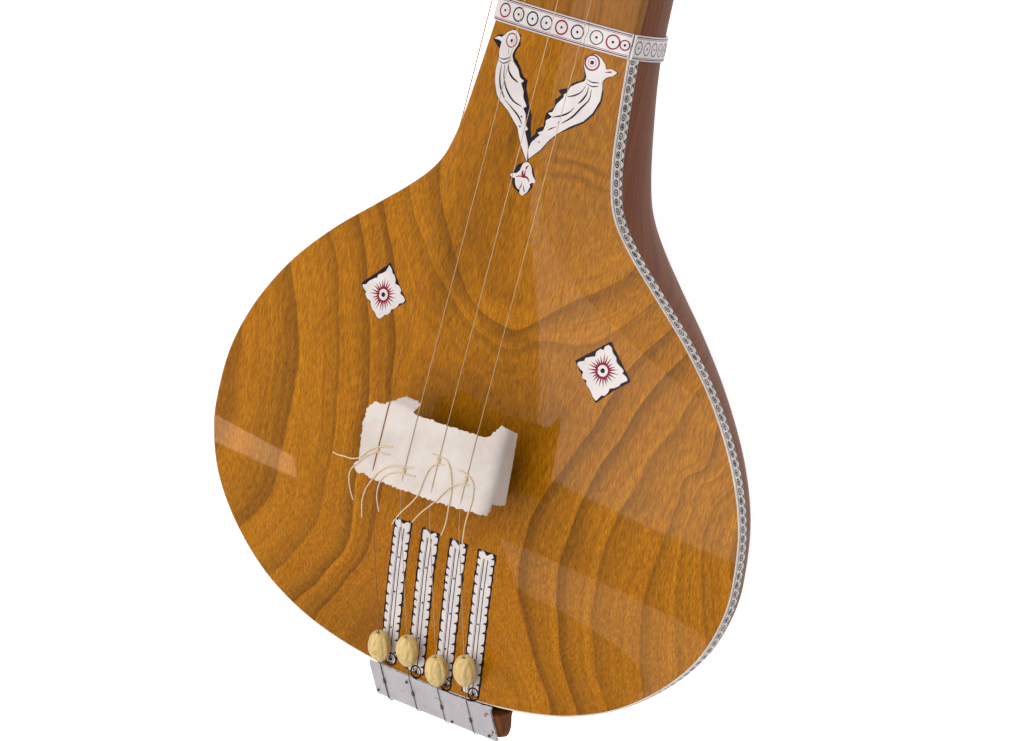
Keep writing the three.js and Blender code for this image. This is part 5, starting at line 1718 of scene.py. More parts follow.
@dataclass
class InlayWork:
    """Strips, flowers, paired birds and bud set into the board, with their lac."""

    lac_high: float = 0.05
    white_high: float = 0.12
    ink_high: float = 0.16
    strip_width: float = 8.1
    strip_spacing: float = 14.1
    strip_middle: float = 0.6
    strip_top: float = -18.5
    strip_end: float = -79.2
    strip_rings: Line = ((-19.0, -77.9), (-5.8, -79.0), (9.6, -79.3), (23.4, -78.7))
    flower_places: Line = ((-52.35, 67.4), (56.35, 67.3))
    rays: int = 23
    seed: int = 7

    def ink(self, book: MeshBook, line: Points, width: float | Points, finish: int) -> None:
        """Cut a line into the sheet and fill it with lac."""
        book.stroke(line, width, board_place, self.white_high + CUT_IN, self.ink_high, finish)

    def ring(self, book: MeshBook, at: Sequence[float], radius: float, width: float,
             finish: int) -> None:
        """Cut a ring into the sheet and fill it with lac."""
        book.ring(at, radius, width, board_place, self.white_high + CUT_IN, self.ink_high, finish, 26)

    def dot(self, book: MeshBook, at: Sequence[float], radius: float, finish: int) -> None:
        """Press one round dot of lac into the sheet."""
        book.plate(circle(at, radius, 12), board_place, self.white_high + CUT_IN,
                   self.ink_high + 0.01, finish)

    def lay(self, motif: Motif, offset: Sequence[float] = (0.0, 0.0)) -> MeshBook:
        """Lay a motif's sheet, beds and marks on the board.

        Args:
            motif: What to lay.
            offset: Where its origin lies.

        Returns:
            The book with its meshes.
        """
        rand = random.Random(self.seed + len(motif.sheet))
        book = MeshBook()
        sheet = closed(np.array(motif.sheet) + offset, 0.7)
        rough = np.array([motif.margin + 0.2 * (rand.random() - 0.5) for _ in sheet])
        book.plate(grown(sheet, rough), board_place, BEDDED, self.lac_high, 1)
        for bed in motif.beds:
            edge = closed(np.array(bed) + offset, 0.9)
            edge = grown(edge, np.array([0.2 * (rand.random() - 0.5) for _ in edge]))
            book.plate(edge, board_place, BEDDED, self.lac_high - 0.01, 1)
        book.plate(sheet, board_place, BEDDED, self.white_high, 0, 2.5)
        for finish, width, points in motif.strokes:
            line = smooth_line(np.array(points) + offset, 6)
            swell = 0.3 + 0.7 * np.sin(math.pi * np.linspace(0.02, 0.98, len(line)) ** 1.5)
            self.ink(book, line, width * swell, finish)
        for finish, x, y, radius, width in motif.rings:
            self.ring(book, (x + offset[0], y + offset[1]), radius, width, finish)
        for finish, x, y, radius in motif.dots:
            self.dot(book, (x + offset[0], y + offset[1]), radius, finish)
        return book

    def finish(self, book: MeshBook, name: str, node: str) -> None:
        """Write an inlay with its materials and tie it to the frame."""
        settle(book.write(name, *INLAY_DRESS), "inlay_white", node)

    def scalloped(self, side: int, rand: random.Random) -> tuple[Points, list[float]]:
        """Draw one edge of a strip as a row of uneven lobes.

        Args:
            side: Left or right, as -1 or 1.
            rand: Source of the uneven lengths.

        Returns:
            The edge from tail to bridge, from the strip's middle, and the places of its notches.
        """
        points, notches = [], []
        y, half = self.strip_end, self.strip_width / 2
        while y < self.strip_top - 3.0:
            length = 3.0 + 2.4 * rand.random()
            bulge = 0.5 + 0.4 * rand.random()
            for share in (0.0, 0.12, 0.3, 0.5, 0.7, 0.88):
                out = bulge * abs(math.sin(math.pi * share)) ** 0.4
                points.append((side * (half - 0.85 + out), y + share * length))
            y += length
            notches.append(y)
        return np.array(points), notches

    def build_strip(self, i: int) -> None:
        """Make one white strip between beads and bridge.

        Args:
            i: Its number.
        """
        rand = random.Random(self.seed + i)
        x = self.strip_middle + (i - 1.5) * self.strip_spacing
        book = MeshBook()
        half = self.strip_width / 2 + 0.3
        ys = np.arange(self.strip_end - 0.2, self.strip_top + 0.9, 1.3)
        wobble = np.array([0.55 * rand.random() for _ in ys])
        bed = np.vstack([joined(x + half + wobble, ys),
                         joined(x - half - wobble[::-1] * 0.7, ys[::-1])])
        book.plate(bed, board_place, BEDDED, self.lac_high, 1, 4.0)
        right, right_notches = self.scalloped(1, rand)
        left, left_notches = self.scalloped(-1, rand)
        top = self.strip_top
        notch = np.array([(2.9, top - 0.4), (2.5, top), (1.6, top - 0.5), (0, top - 1.6),
                          (-1.5, top - 0.3), (-2.6, top), (-3.0, top - 0.5)])
        book.plate(np.vstack([right, notch, left[::-1]]) + (x, 0), board_place, BEDDED,
                   self.white_high, 0, 2.5)
        for side, notches in ((1, right_notches), (-1, left_notches)):
            for y in notches:
                reach = self.strip_width / 2 - 0.5
                line = np.array([(x + side * reach, y), (x + side * (reach - 1.1), y - 0.5)])
                self.ink(book, line, np.array([0.95, 0.2]), 1)
        for at, width in ((-0.85, 0.4), (0.95, 0.4), (-1.45, 0.14)):
            ends = np.arange(self.strip_end + 0.5, self.strip_top - 1.5, 3.0)
            sway = np.array([x + at + 0.12 * (rand.random() - 0.5) for _ in ends])
            self.ink(book, joined(sway, ends), width, 3)
        low = self.strip_rings[i]
        self.ring(book, low, 2.5, 0.7, 1)
        self.ring(book, low, 1.3, 0.3, 3)
        self.dot(book, low, 0.8, 1)
        for share in (0.12, 0.45, 0.77):
            at = self.strip_end + 9 + share * (self.strip_top - self.strip_end - 14)
            self.dot(book, (x + 0.5 * (rand.random() - 0.5), at), 0.42, 1)
        self.finish(book, f"strip_inlay_{i + 1}", f"tail_strip_{i + 1}")

    def build_flower(self, motif: Motif, center: tuple[float, float]) -> None:
        """Make one square flower that stands on its corner.

        Args:
            motif: Its sheet and bed.
            center: Its middle.
        """
        rand = random.Random(self.seed + 20 + len(motif.sheet))
        book = self.lay(motif, center)
        for k in range(self.rays):
            turn = 2 * math.pi * (k + 0.35 * rand.random()) / self.rays
            far = 4.4 + 2.8 * (0.35 + 0.65 * abs(math.cos(2 * turn))) * (0.7 + 0.3 * rand.random())
            reach = np.array([2.9, (2.9 + far) / 2, far])[:, None]
            line = np.array(center) + reach * np.array([math.cos(turn), math.sin(turn)])
            self.ink(book, line, np.array([0.8, 0.45, 0.06]), 2)
        self.ring(book, center, 2.75, 0.9, 2)
        self.dot(book, center, 1.0, 1)
        self.dot(book, (center[0] - 2.1, center[1] - 0.2), 0.32, 2)
        self.finish(book, motif.name, motif.node)

    def build(self) -> None:
        """Make all the inlays."""
        for i in STRINGS:
            self.build_strip(i)
        for motif in (LEFT_BIRD, RIGHT_BIRD, BUD):
            self.finish(self.lay(motif), motif.name, motif.node)
        for motif, center in zip((LEFT_FLOWER, RIGHT_FLOWER), self.flower_places):
            self.build_flower(motif, center)


# Band over the joint


@dataclass
class JointBand:
    """White engraved band round the joint of body and neck."""

    start: float = 187.0
    length: float = 10.0
    thickness: float = 0.8
    gap: float = 0.3
    worn_edges: Line = ((0, 0.22), (0.15, 0.06), (0.4, 0), (3.4, 0), (6.6, 0), (9.6, 0), (9.85, 0.06),
                        (10, 0.22))
    front_rings: tuple[tuple[float, int, float], ...] = (
        (-27.2, 2, 0.65), (-19.5, 1, 0.6), (-12, 1, 0.6), (-4.9, 1, 0.5), (2.5, 2, 0.65), (9.9, 1, 0.55),
        (18.4, 1, 0.4), (25.4, 2, 0.6), (30.3, 2, 0.5))

    def mark(self, book: MeshBook, place: Placing, ends: tuple[float, float], radius: float,
             rings: Sequence[tuple[float, int, float]]) -> None:
        """Engrave the edge lines and the row of rings with their dots.

        Args:
            book: Where the marks go.
            place: The band's surface.
            ends: Where the pattern starts and stops along the band.
            radius: Radius of each ring.
            rings: Place, finish and width of each ring.
        """
        along = np.linspace(ends[0], ends[1], 40)
        for at, width, finish in ((0.75, 0.4, 3), (1.35, 0.2, 2), (8.7, 0.2, 2), (9.3, 0.4, 3)):
            book.stroke(joined(along, self.start + at), width, place, CUT_IN, 0.05, finish)
        for at, finish, width in rings:
            center = (at, self.start + self.length / 2)
            book.ring(center, min(radius, ends[1] - at), width, place, CUT_IN, 0.05, finish, 26)
            book.plate(circle(center, 0.2 * radius, 9), place, CUT_IN, 0.05, 1)

    def build_front(self) -> None:
        """Make the part that lies on the front."""
        rise = self.gap + self.thickness
        half = FORM.half_neck

        def place(points: Points) -> Points:
            """Lay x, y and height on the band's front."""
            return board_place(points + (0, 0, rise))

        book = MeshBook()
        xs = np.linspace(-half, half, 41)
        worn = np.clip((np.abs(xs) - (half - 0.5)) / 0.5, 0, 1) ** 2 * 0.25
        upper, lower = [], []
        for at, low in self.worn_edges:
            y = self.start + at
            z = FORM.top(xs, y)
            upper.append(joined(xs, y, z + rise - low - worn))
            lower.append(joined(xs, y, z + self.gap))
        book.slab(upper, lower)
        self.mark(book, place, (-half + 0.6, half - 0.3), 2.7, self.front_rings)
        crack = smooth_line([(14.2, 187.2), (13.7, 190), (14.4, 193), (14.0, 196.8)], 6)
        book.stroke(crack, 0.14, place, CUT_IN, 0.04, 1)
        settle(book.write("band_front", *INLAY_DRESS), "inlay_white", "neck_band_front")

    def build_back(self) -> None:
        """Make the part that wraps sides and back."""
        outer, inner = [], []
        for at, low in self.worn_edges:
            y = self.start + at
            outer.append(FORM.section(y, 0.0, -self.gap - self.thickness + low, 64))
            inner.append(FORM.section(y, 0.0, -self.gap, 64))
        book = MeshBook()
        book.slab(outer, inner)
        grid = np.array([FORM.section(self.start + at, 0.0, -self.gap - self.thickness, 64)
                         for at in (0.0, 10.0)])
        run = distances(grid[0])

        def on_line(places: Points, line: Points) -> Points:
            """Points of a section line at distances along it."""
            return joined(*(np.interp(places, run, column) for column in line.T))

        def place(points: Points) -> Points:
            """Lay run, y and height on the band's back."""
            at = points[:, 0]
            row = np.clip((points[:, 1] - self.start) / self.length, 0, 1)[:, None]
            found = on_line(at, grid[0]) * (1 - row) + on_line(at, grid[1]) * row
            along = on_line(at + 0.3, grid[0]) - on_line(at - 0.3, grid[0])
            out = joined(-along[:, 2], 0.0, along[:, 0])
            out /= np.linalg.norm(out, axis=1)[:, None] + 1e-9
            return found - out * points[:, 2:3]

        count = int(run[-1] / 7.1)
        rings = [((k + 0.5) * run[-1] / count, 1 + k % 2, 0.42) for k in range(count)]
        self.mark(book, place, (0.6, run[-1] - 0.6), 2.6, rings)
        settle(book.write("band_back", *INLAY_DRESS), "inlay_white", "neck_band_back")

    def build(self) -> None:
        """Make both parts."""
        self.build_front()
        self.build_back()


# Neck and head


@dataclass
class Neck:
    """Hollow neck with its cover, head cap, nut and string guide."""

    strings: StringSet
    start: float = 197.05
    cover_thickness: float = 4.0
    wall: float = 6.0
    cap_length: float = 9.0
    gap: float = 0.3
    rows: int = 60

    @property
    def end(self) -> float:
        """Where shell and cover stop before the head cap."""
        return FORM.neck_end - self.cap_length - self.gap

    @property
    def places(self) -> Points:
        """Where the sections of shell and cover lie, two of them under the band."""
        return np.concatenate([[192.15, 194.5], np.linspace(self.start, self.end, self.rows)])

    def figure(self, points: Points) -> Points:
        """Straight ring lines that run along the neck's cover."""
        x, y = points[:, 0], points[:, 1]
        rings = (x + 5 * np.sin(y / 170.0) + 0.02 * y) / 6.5 + 3 * points[:, 2] / 20.0
        return joined(rings, 0.0)

    def build_shell(self) -> None:
        """Make the neck's back from the joint to the head."""
        drop = self.cover_thickness + self.gap
        outer, inner = ([FORM.section(float(y), drop, inset, 56) for y in self.places]
                        for inset in (0.0, self.wall))
        book = MeshBook()
        book.slab(outer, inner)
        made = book.write("neck_back", SHELL_WOOD)
        drill(made, self.peg_holes())
        settle(made, "shell_wood", "neck_shell")

    def peg_holes(self) -> list[tuple[Vector, Vector, float]]:
        """Holes that the pegs turn in, from each peg's inner end to just outside the wood."""
        holes = []
        for i in STRINGS:
            axis, at = self.strings.peg(i)
            ends = [(corner - at).dot(axis) for corner in box_mm(f"tuning_peg_{i + 1}")]
            outer = 2.0 if i in (1, 2) else -3.0
            holes.append((at + axis * (min(ends) - 0.3), at + axis * outer, 5.25))
        return holes

    def build_cover(self) -> None:
        """Make the crowned cover of the neck."""
        shares = np.linspace(-1, 1, 33)
        upper, lower = [], []
        for y in self.places:
            half = float(FORM.half_width(y))
            xs = np.concatenate([[-half, -half + 0.15], shares * (half - 0.5), [half - 0.15, half]])
            z = FORM.top(xs, y)
            z[[0, -1]] -= 0.6
            z[[1, -2]] -= 0.18
            upper.append(joined(xs, y, z))
            lower.append(joined(xs, y, FORM.edge(y) - self.cover_thickness))
        book = MeshBook()
        book.slab(upper, lower)
        made = book.write("neck_front", COVER_WOOD, drawn=self.figure)
        drill(made, self.peg_holes()[1:3])
        settle(made, "board_wood", "neck_cover")

    def build_cap(self) -> None:
        """Make the rounded end of the head."""
        at = FORM.neck_end - self.cap_length
        rings = []
        for turn in np.linspace(0, math.pi / 2, 13):
            drawn_in = 0.25 * FORM.half_head / 2 * (1 - math.cos(turn)) ** 1.2
            ring = FORM.section(at, 0.0, drawn_in, 40)
            ring[:, 1] = at + math.sin(turn) * self.cap_length
            ring[:, 2] -= drawn_in / 2
            xs = np.linspace(ring[-1, 0], ring[0, 0], 22)[1:-1]
            crown = joined(xs, ring[0, 1], FORM.top(xs, at) - drawn_in / 2)
            rings.append(np.vstack([ring, crown]))
        book = MeshBook()
        book.loft(rings)
        settle(book.write("head_end_cap", DARK_WOOD), "dark_wood", "head_cap")

    def upright(self, node: str, name: str, top: float, notch: float) -> None:
        """Make a thin bone piece that stands across the neck.

        Args:
            node: Frame node that it stands for.
            name: Name of the piece.
            top: Height of its upper edge.
            notch: Depth of the strings' notches, or 0 where holes take their place.
        """
        low, high = box_mm(node)
        middle, thick = (low.y + high.y) / 2, (high.y - low.y) / 2
        half = (high.x - low.x) / 2
        xs = [-half, -half + 0.4, -half + 1.2]
        zs = [-1.2, -0.4, 0.0]
        places = [self.strings.x(i, middle) for i in STRINGS]
        for x in places:
            xs += [x - 0.7, x - 0.3, x, x + 0.3, x + 0.7]
            zs += [0.0, -notch * 0.8, -notch, -notch * 0.8, 0.0]
        xs, zs = np.array(xs + [half - 1.2, half - 0.4, half]), np.array(zs + [0.0, -0.4, -1.2]) + top
        foot = FORM.top(xs, middle) + self.gap
        around = []
        for side in (-1, 1):
            rows = [joined(xs, middle + side * (thick - less), zs - down)
                    for down, less in ((0.0, 0.6), (0.25, 0.2), (0.7, 0.0))]
            rows.append(joined(xs, middle + side * thick, foot))
            around += rows[::side]
        book = MeshBook()
        book.loft(np.stack(around, 1))
        made = book.write(name, BONE, crease=30)
        if not notch:
            z = self.strings.guide_height
            drill(made, [(Vector((x, middle - 6, z)), Vector((x, middle + 6, z)), 0.8) for x in places])
        settle(made, "bone", node)

    def build(self) -> None:
        """Make the neck."""
        self.build_shell()
        self.build_cover()
        self.build_cap()
        self.upright("nut", "nut_bar", self.strings.nut_height - 0.3, 0.35)
        self.upright("string_guide", "guide_bar", box_mm("string_guide")[1].z, 0.0)


# Tailpiece


@dataclass
class TailPiece:
    """Dark block at the tail, its pale sloping plate, nails and hitch pins."""

    middle: float = 3.8
    width: float = 66.0
    height: float = 32.0
    corner: float = 4.5
    wall_y: tuple[float, ...] = (-94.6, -93.6, -91.5, -88.3, -82.3)
    wall_z: tuple[float, ...] = (59.2, 58.2, 57.6, 57.6, 60.0)
    gap: float = 0.3
    plate_middle: float = 2.9
    plate_width: float = 62.4
    thickness: float = 1.0
    start: tuple[float, float] = (-82.5, 71.38)
    run: float = 13.9
    fall: float = 11.6
    fold: float = 3.0
    fold_lean: float = 0.2
    lip_x: tuple[float, ...] = (-28.0, -6.9, 7.6, 22.4, 34.6)
    lip_y: tuple[float, ...] = (-80.7, -81.3, -81.45, -81.3, -80.2)
    nails: Line = ((-26.8, 15.2), (-9.3, 2.6), (11.0, 16.6), (30.2, 15.8))

    @property
    def length(self) -> float:
        """Length of the sloping face."""
        return math.hypot(self.run, self.fall)

    def on_slope(self, along: float, above: float) -> tuple[float, float]:
        """Y and Z of a point on the sloping face."""
        dy, dz = -self.run / self.length, -self.fall / self.length
        return (self.start[0] + dy * along + dz * above, self.start[1] + dz * along - dy * above)

    def on_fold(self, down: float, out: float) -> tuple[float, float]:
        """Y and Z of a point on the folded lower edge."""
        size = math.hypot(self.fold_lean, 1)
        dy, dz = -self.fold_lean / size, -1 / size
        at = self.on_slope(self.length, 0)
        return at[0] + dy * down + dz * out, at[1] + dz * down - dy * out

    def build_block(self) -> None:
        """Make the block, flat above and rounded below."""
        under = -self.thickness - self.gap
        far_y, far_z = self.on_slope(self.length + under, under)
        half = self.width / 2
        upper, lower = [], []
        soft = np.concatenate([np.linspace(0, 1, 9) ** 2 * self.corner,
                               np.linspace(self.corner + 1.5, 24, 9)])
        shares = np.sin(np.linspace(-1, 1, 41) * math.pi / 2)
        for inward in soft:
            y = far_y + inward
            to_go = max(0.0, self.corner - inward)
            wide = half - self.corner + math.sqrt(self.corner**2 - to_go**2)
            top = far_z + inward * self.fall / self.run
            if y > FORM.outline[0, 1] - 0.4:
                top = min(top, 60.0)
            xs = self.middle + shares * wide
            out = np.abs(xs - self.middle) / (half + 0.01)
            edge = float(np.interp(y, self.wall_y, self.wall_z))
            bowl = edge - (edge - self.start[1] + self.height) * (1 - out**2)
            worn = 0.5 * np.clip((np.abs(shares) - 0.985) / 0.015, 0, 1)
            top_z = top - worn - (0.5 if inward == 0 else 0)
            upper.append(joined(xs, y, top_z))
            lower.append(joined(xs, y, np.minimum(bowl, top_z - 0.3)))
        book = MeshBook()
        book.slab(upper, lower)
        settle(book.write("tail_rest_block", BLOCK_WOOD, crease=50), "dark_wood", "tailpiece_block")

    def build_plate(self) -> None:
        """Make the pale plate with its lip, fold, chips and scratches."""
        rand = random.Random(3)
        profile = [(-80.9, 71.2), (-81.3, 71.42), (-82.4, 71.4)]
        profile += [self.on_slope(a, 0) for a in np.linspace(0.6, self.length - 0.5, 14)]
        profile += [self.on_fold(0.35, -0.02), self.on_fold(1.6, 0), self.on_fold(self.fold, 0)]
        profile = np.array(profile)
        along = directions(profile)
        inner = profile + joined(-along[:, 1], along[:, 0]) * self.thickness
        left, right = (self.plate_middle + s * self.plate_width / 2 for s in (-1, 1))
        columns = 44
        upper, lower = [], []
        ragged = np.array([0.35 * rand.random() ** 2 for _ in range(columns)])
        for row, ((y, z), (v, w)) in enumerate(zip(profile, inner)):
            chip = 0.5 * abs(math.sin(y * 1.9)) + 0.35 * rand.random()
            chip += (0, 0.5, 1.3, 2.4)[max(0, row - len(profile) + 4)]
            xs = np.linspace(left + 0.1 * rand.random(), right - chip, columns)
            back = 0.0
            if row < 3:
                edge = np.interp(xs, self.lip_x, self.lip_y) - ragged
                back = (edge - self.lip_y[0]) * (1, 0.85, 0.3)[row]
            upper.append(joined(xs, y + back, z))
            lower.append(joined(xs, v + back, w))
        book = MeshBook()
        book.slab(upper, lower)

        def place(points: Points) -> Points:
            """Lay x, run and height on the sloping face."""
            return np.array([(x, *self.on_slope(a, h)) for x, a, h in points])

        for at, wide, long in (((31.6, 2.4), 1.1, 0.7), ((30.4, 3.9), 0.6, 1.0),
                               ((32.4, 12.8), 0.7, 1.1), ((31.6, 14.9), 0.5, 0.7)):
            turn = np.linspace(0, 2 * math.pi, 14, endpoint=False)
            reach = np.array([0.7 + 0.5 * rand.random() for _ in turn])
            blot = joined(at[0] + wide * reach * np.cos(turn), at[1] + long * reach * np.sin(turn))
            book.plate(blot, place, CUT_IN, 0.03, 1)
        for start, stop in (((4.2, 5.2), (8.6, 6.3)), ((5.0, 4.8), (7.2, 5.1)), ((18.0, 3.2), (19.2, 4.0)),
                            ((-14.0, 9.5), (-11.5, 9.9)), ((-3.5, 13.8), (-1.4, 14.2))):
            line = np.array([start, ((start[0] + stop[0]) / 2, (start[1] + stop[1]) / 2 + 0.15), stop])
            book.stroke(line, np.array([0.08, 0.22, 0.08]), place, CUT_IN, 0.02, 2)
        settle(book.write("tail_plate_face", PLATE, CHIPPED, BLACK_LAC), "plate_white",
               "tailpiece_plate")

    def build_fasteners(self) -> None:
        """Make the nails in the plate and the pins that hold the strings."""
        dome = np.array([(0.02, -5.0), (0.25, -4.4), (0.5, -3.2), (0.5, 0.3), (0.9, 0.3),
                         (0.88, 0.5), (0.7, 0.66), (0.4, 0.75), (0.02, 0.78)])
        up = Vector((0, -self.fall / self.length, self.run / self.length))
        for k, (x, along) in enumerate(self.nails):
            book = MeshBook()
            book.lathe(dome * (0.75, 1.0), standing(up, (x, *self.on_slope(along, 0))), 20)
            settle(book.write(f"nail_{k + 1}", NAIL), "nail", f"plate_nail_{k + 1}")
        pin = np.array([(0.02, 0.0), (0.9, 0.05), (1.0, 0.3), (0.98, 6.2), (0.8, 6.9), (0.8, 7.6),
                        (0.98, 8.2), (0.98, 8.7), (0.7, 8.95), (0.02, 9.0)])
        for k in STRINGS:
            low, high = box_mm(f"hitch_pin_{k + 1}")
            middle = (low + high) / 2

            def stand(points: Points, middle: Vector = middle, high: Vector = high) -> Points:
                """Point local Z along the tail, away from the block."""
                x, y, z = points.T
                return joined(middle.x + x, high.y - z, middle.z + y)

            book = MeshBook()
            book.lathe(pin, stand, 24)
            settle(book.write(f"string_pin_{k + 1}", NAIL), "nail", f"hitch_pin_{k + 1}")

    def build(self) -> None:
        """Make the tailpiece."""
        self.build_block()
        self.build_plate()
        self.build_fasteners()


# Bridge and paper


@dataclass
class Bridge:
    """Bridge plate on an arched foot, under a torn sheet of paper."""

    left: float = -29.2
    right: float = 33.0
    back: float = 1.5
    front: float = 27.5
    top: float = 112.2
    plate_thickness: float = 5.0
    base_left: float = -21.0
    base_right: float = 22.6
    base_back: float = 4.5
    base_front: float = 24.5
    foot_top: float = 106.9
    arch_half: float = 11.8
    arch_height: float = 10.2
    paper_top: float = 113.0
    bend_x: float = 28.8
    bend_radius: float = 4.7
    bend_angle: float = math.radians(86)
    end_round: float = 4.25
    tab_fold: float = 30.2
    tab_angle: float = math.radians(42)
    outline: Line = (
        (-28.7, 29.5), (-29.6, 28.3), (-31.2, 26.6), (-31.8, 25.3), (-31.6, 23.2), (-32.2, 19.8),
        (-31, 12.5), (-29.6, 4.4), (-31.6, 2.6), (-30.8, 0.4), (-28.2, -0.4), (-26.4, 0.5),
        (-21.6, -0.7), (-7.1, -0.6), (9.6, -0.5), (25.8, 0.5), (31, 0.9), (34.5, 0.9),
        (34.7, 3.4), (35.4, 5.4), (44.6, 5.2), (42.9, 20), (41, 34.7), (34, 36.4),
        (31, 37.2), (29.6, 34.6), (27.4, 32), (25.9, 30.8), (20.1, 30.4), (6.4, 29.9),
        (-8.2, 29.7), (-9.9, 30.4), (-9.4, 34.6), (-10.2, 35.4), (-12.2, 35.8), (-17.3, 36.4),
        (-20, 34), (-23.4, 30), (-25, 29.3))

    def arc(self, at: float) -> Points:
        """Line of the base's underside across one place, arched between the feet."""
        xs = np.linspace(self.base_left, self.base_right, 41)
        out = (xs - (self.base_left + self.base_right) / 2) / self.arch_half
        rise = self.arch_height * np.sqrt(np.maximum(0, 1 - out**2))
        return joined(xs, at, FORM.top(xs, at) + 0.3 + rise)

    def build_base(self) -> None:
        """Make the arched foot."""
        upper, lower = [], []
        back, front = self.base_back, self.base_front
        for at, worn in ((back, 0.28), (back + 0.25, 0.08), (back + 0.8, 0), (14.5, 0),
                         (front - 0.8, 0), (front - 0.25, 0.08), (front, 0.28)):
            lower.append(self.arc(at))
            upper.append(joined(lower[-1][:, 0], at, self.foot_top - worn))
        book = MeshBook()
        book.slab(upper, lower)
        settle(book.write("bridge_foot", DARK_WOOD, crease=35), "dark_wood", "bridge_base")

    def build_plate(self) -> None:
        """Make the bone plate that carries the strings."""
        low, high, back, front = self.top - self.plate_thickness, self.top, self.back, self.front
        profile = np.array([
            (back, low + 0.4), (back + 0.4, low), (front - 0.4, low), (front, low + 0.4),
            (front, high - 2.0), (front - 0.5, high - 0.9), (front - 1.6, high - 0.2),
            (front - 3.5, high), (back + 9, high), (back + 5, high - 0.25),
            (back + 2.4, high - 1.0), (back + 0.6, high - 2.3), (back, high - 3.4)])
        center = profile.mean(0)
        rings = []
        for x, scale in ((self.left, 0.9), (self.left + 0.2, 0.96), (self.left + 0.8, 1.0),
                         (0.0, 1.0), (self.bend_x, 1.0), (30.2, 1.0), (31.3, 1.0), (32.2, 1.0),
                         (32.8, 0.96), (self.right, 0.9)):
            y, z = (center + (profile - center) * scale).T
            bent = math.sqrt(max(0.0, self.end_round**2 - max(0.0, x - self.bend_x) ** 2))
            rings.append(joined(x, y, np.minimum(z, self.top - self.end_round + bent)))
        book = MeshBook()
        book.loft(rings)
        settle(book.write("bridge_top", BONE, crease=45), "bone", "bridge_plate")

    def fold_paper(self, points: Points) -> Points:
        """Bend the flat sheet over the bridge's right end and bend its tab down.

        Args:
            points: Place on the flat sheet, and height above it.

        Returns:
            The places in the scene.
        """
        x, y, h = points.T
        r, most = self.bend_radius, self.bend_angle
        turn = np.clip((x - self.bend_x) / r, 0, most)
        rest = np.maximum(0, x - self.bend_x - r * most)
        px = np.minimum(x, self.bend_x) + r * np.sin(turn) + rest * math.cos(most)
        pz = self.paper_top - r * (1 - np.cos(turn)) - rest * math.sin(most)
        ripple = 0.10 * np.sin(x * 0.5 + 1.3 * np.sin(y * 0.21)) * np.sin(y * 0.33 + 0.6)
        lift = np.clip((y - 29) / 6, 0, 1) + np.clip((3 - y) / 4, 0, 1)
        height = h + ripple * (0.35 + lift)
        px, pz = px + height * np.sin(turn), pz + height * np.cos(turn)
        tab = np.where(x < 0, np.maximum(0, y - self.tab_fold), 0)
        lean = np.clip(tab / 2.5, 0, 1) * self.tab_angle
        return joined(px, y - tab * (1 - np.cos(lean)), pz - tab * np.sin(lean))

    def build_paper(self) -> None:
        """Make the sheet with its torn edges."""
        rand = random.Random(11)
        dense = closed(np.array(self.outline), 0.45)
        torn = np.array([0.16 * rand.gauss(0, 1) for _ in dense])
        torn = (torn + np.roll(torn, 1) * 0.6) * np.where(
            (dense[:, 0] > 36) & (dense[:, 1] > 6), 0.15, 1.0)
        dense = grown(dense, np.clip(torn, -0.5, 0.5))
        book = MeshBook()
        book.plate(dense, self.fold_paper, -0.42, 0.0, 0, 1.3)
        made = book.write("paper_sheet", PAPER, crease=50)
        settle(made, "paper", "bridge_paper")

    def build(self) -> None:
        """Make the bridge."""
        self.build_base()
        self.build_plate()
        self.build_paper()


# Beads and pegs


@dataclass
class Beads:
    """Fluted oval beads that slide on the slanting strings to fine-tune them."""

    strings: StringSet
    radius: float = 4.85
    length: float = 14.2
    bore: float = 0.65
    places: tuple[float, ...] = (-73.0, -70.2, -73.9, -68.9)
    flutes: int = 9

    def build(self) -> None:
        """Make the four beads."""
        strings = self.strings
        half = self.length / 2
        shell = [(0.16, -1.0), (0.27, -0.985), (0.38, -0.93), (0.52, -0.84), (0.68, -0.7),
                 (0.82, -0.52), (0.93, -0.3), (0.99, -0.08), (1, 0.1), (0.96, 0.32), (0.87, 0.54),
                 (0.74, 0.73), (0.58, 0.87), (0.42, 0.95), (0.28, 0.985), (0.16, 0.96)]
        outer = [(r * self.radius, t * half) for r, t in shell]
        inner = [(self.bore, t * half) for t in (0.9, 0.3, -0.3, -0.94)]
        profile = np.array(outer + inner)

        def cut(turn: Points, height: float) -> Points:
            """Share of the radius that the flutes leave."""
            ripple = np.abs(np.cos(turn * self.flutes / 2)) ** 0.7
            fade = np.clip(1 - (np.abs(height) / half) ** 3, 0, 1)
            return 1 - 0.1 * (1 - ripple) * fade

        run = Vector((0, strings.bridge_ends[0] - strings.lip[0], strings.height - strings.lip[1]))
        lean = run.normalized().to_track_quat("Z", "X").to_matrix()
        sides = 72
        angle = np.linspace(0, 2 * math.pi, sides, endpoint=False)
        for i, y in enumerate(self.places):
            turn = lean @ Matrix.Rotation(0.4 * i, 3, "Z")
            at = np.array((strings.x(i, 0), y, strings.tail_height(y)))
            rings = []
            for radius, height in profile:
                share = cut(angle, height) if radius > self.bore + 0.2 else 1.0
                ring = joined(radius * share * np.cos(angle), radius * share * np.sin(angle), height)
                rings.append(ring @ np.array(turn).T + at)
            index = np.arange(len(rings) * sides).reshape(-1, sides)
            after, ahead = np.roll(index, -1, 0), np.roll(index, -1, 1)
            corners = (index, ahead, np.roll(after, -1, 1), after)
            book = MeshBook()
            book.add(np.vstack(rings), np.stack([k.ravel() for k in corners], 1).tolist())
            made = book.write(f"fluted_bead_{i + 1}", BEAD, crease=60)
            settle(made, "bead", f"bead_{i + 1}", body=f"bead_{i + 1}")


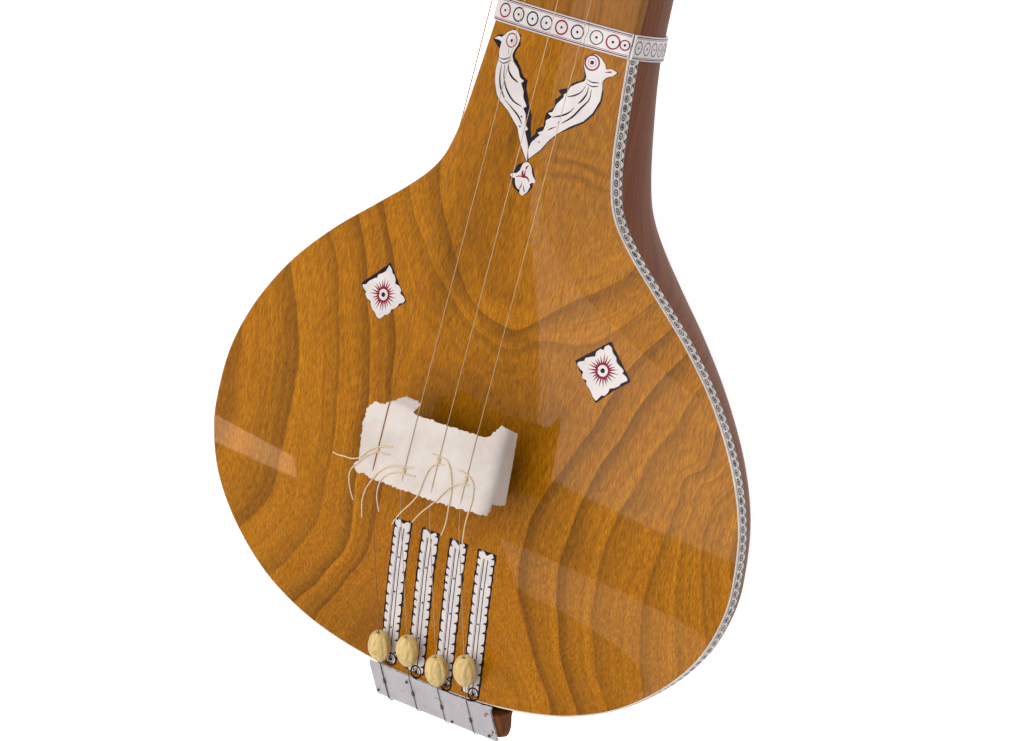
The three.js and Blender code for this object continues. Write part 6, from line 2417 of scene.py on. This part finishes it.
@dataclass
class Pegs:
    """Four turned pegs with fluted knobs and small buttons."""

    strings: StringSet
    radius: float = 5.0
    tip_radius: float = 4.0
    neck: float = 10.0
    knob_radius: float = 13.0
    knob_length: float = 34.0

    def build(self) -> None:
        """Make the four pegs."""
        knob = [(0.40, 0.0), (0.43, 0.05), (0.60, 0.11), (0.635, 0.145), (0.60, 0.18), (0.46, 0.21),
                (0.42, 0.25), (0.5, 0.285), (0.66, 0.33), (0.83, 0.41), (0.95, 0.5), (1, 0.59),
                (0.98, 0.68), (0.9, 0.77), (0.76, 0.845), (0.6, 0.885), (0.5, 0.9), (0.47, 0.915),
                (0.3, 0.925), (0.24, 0.94), (0.25, 0.96), (0.2, 0.985), (0.1, 0.998), (0.002, 1.0)]

        def flutes(turn: Points, height: float) -> Points:
            """Share of the radius that the knob's flutes leave."""
            share = (height - self.neck) / self.knob_length
            swell = np.clip((share - 0.36) / 0.1, 0, 1) * np.clip((0.84 - share) / 0.1, 0, 1)
            return 1 - 0.045 * swell * (1 - np.abs(np.cos(turn * 6)) ** 0.8)

        for i in STRINGS:
            axis, at = self.strings.peg(i)
            inner = min((corner - at).dot(axis) for corner in box_mm(f"tuning_peg_{i + 1}"))
            profile = [(0.002, inner), (3.2, inner), (3.8, inner + 0.4), (self.tip_radius, inner + 1),
                       (self.radius, -6), (self.radius, -4.2), (4.7, -3.9), (4.7, 1.2),
                       (self.radius, 1.6), (self.radius, self.neck * 0.6), (5.2, self.neck - 0.6)]
            profile += [(r * self.knob_radius, self.neck + t * self.knob_length) for r, t in knob]
            book = MeshBook()
            book.lathe(np.array(profile), standing(axis, at), 72, flutes=flutes)
            made = book.write(f"turned_peg_{i + 1}", DARK_WOOD, crease=35)
            settle(made, "dark_wood", f"tuning_peg_{i + 1}", body=f"tuning_peg_{i + 1}")


# Whole instrument


def main() -> None:
    """Build the looks over the frame, piece by piece."""
    logging.basicConfig(level=logging.INFO, format="%(message)s")
    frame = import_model()
    Studio().build()
    strings = StringSet()
    strings.build()
    Resonator(frame).build()
    InlayWork().build()
    JointBand().build()
    Neck(strings).build()
    TailPiece().build()
    Bridge().build()
    Beads(strings).build()
    Pegs(strings).build()


if __name__ == "__main__":
    main()
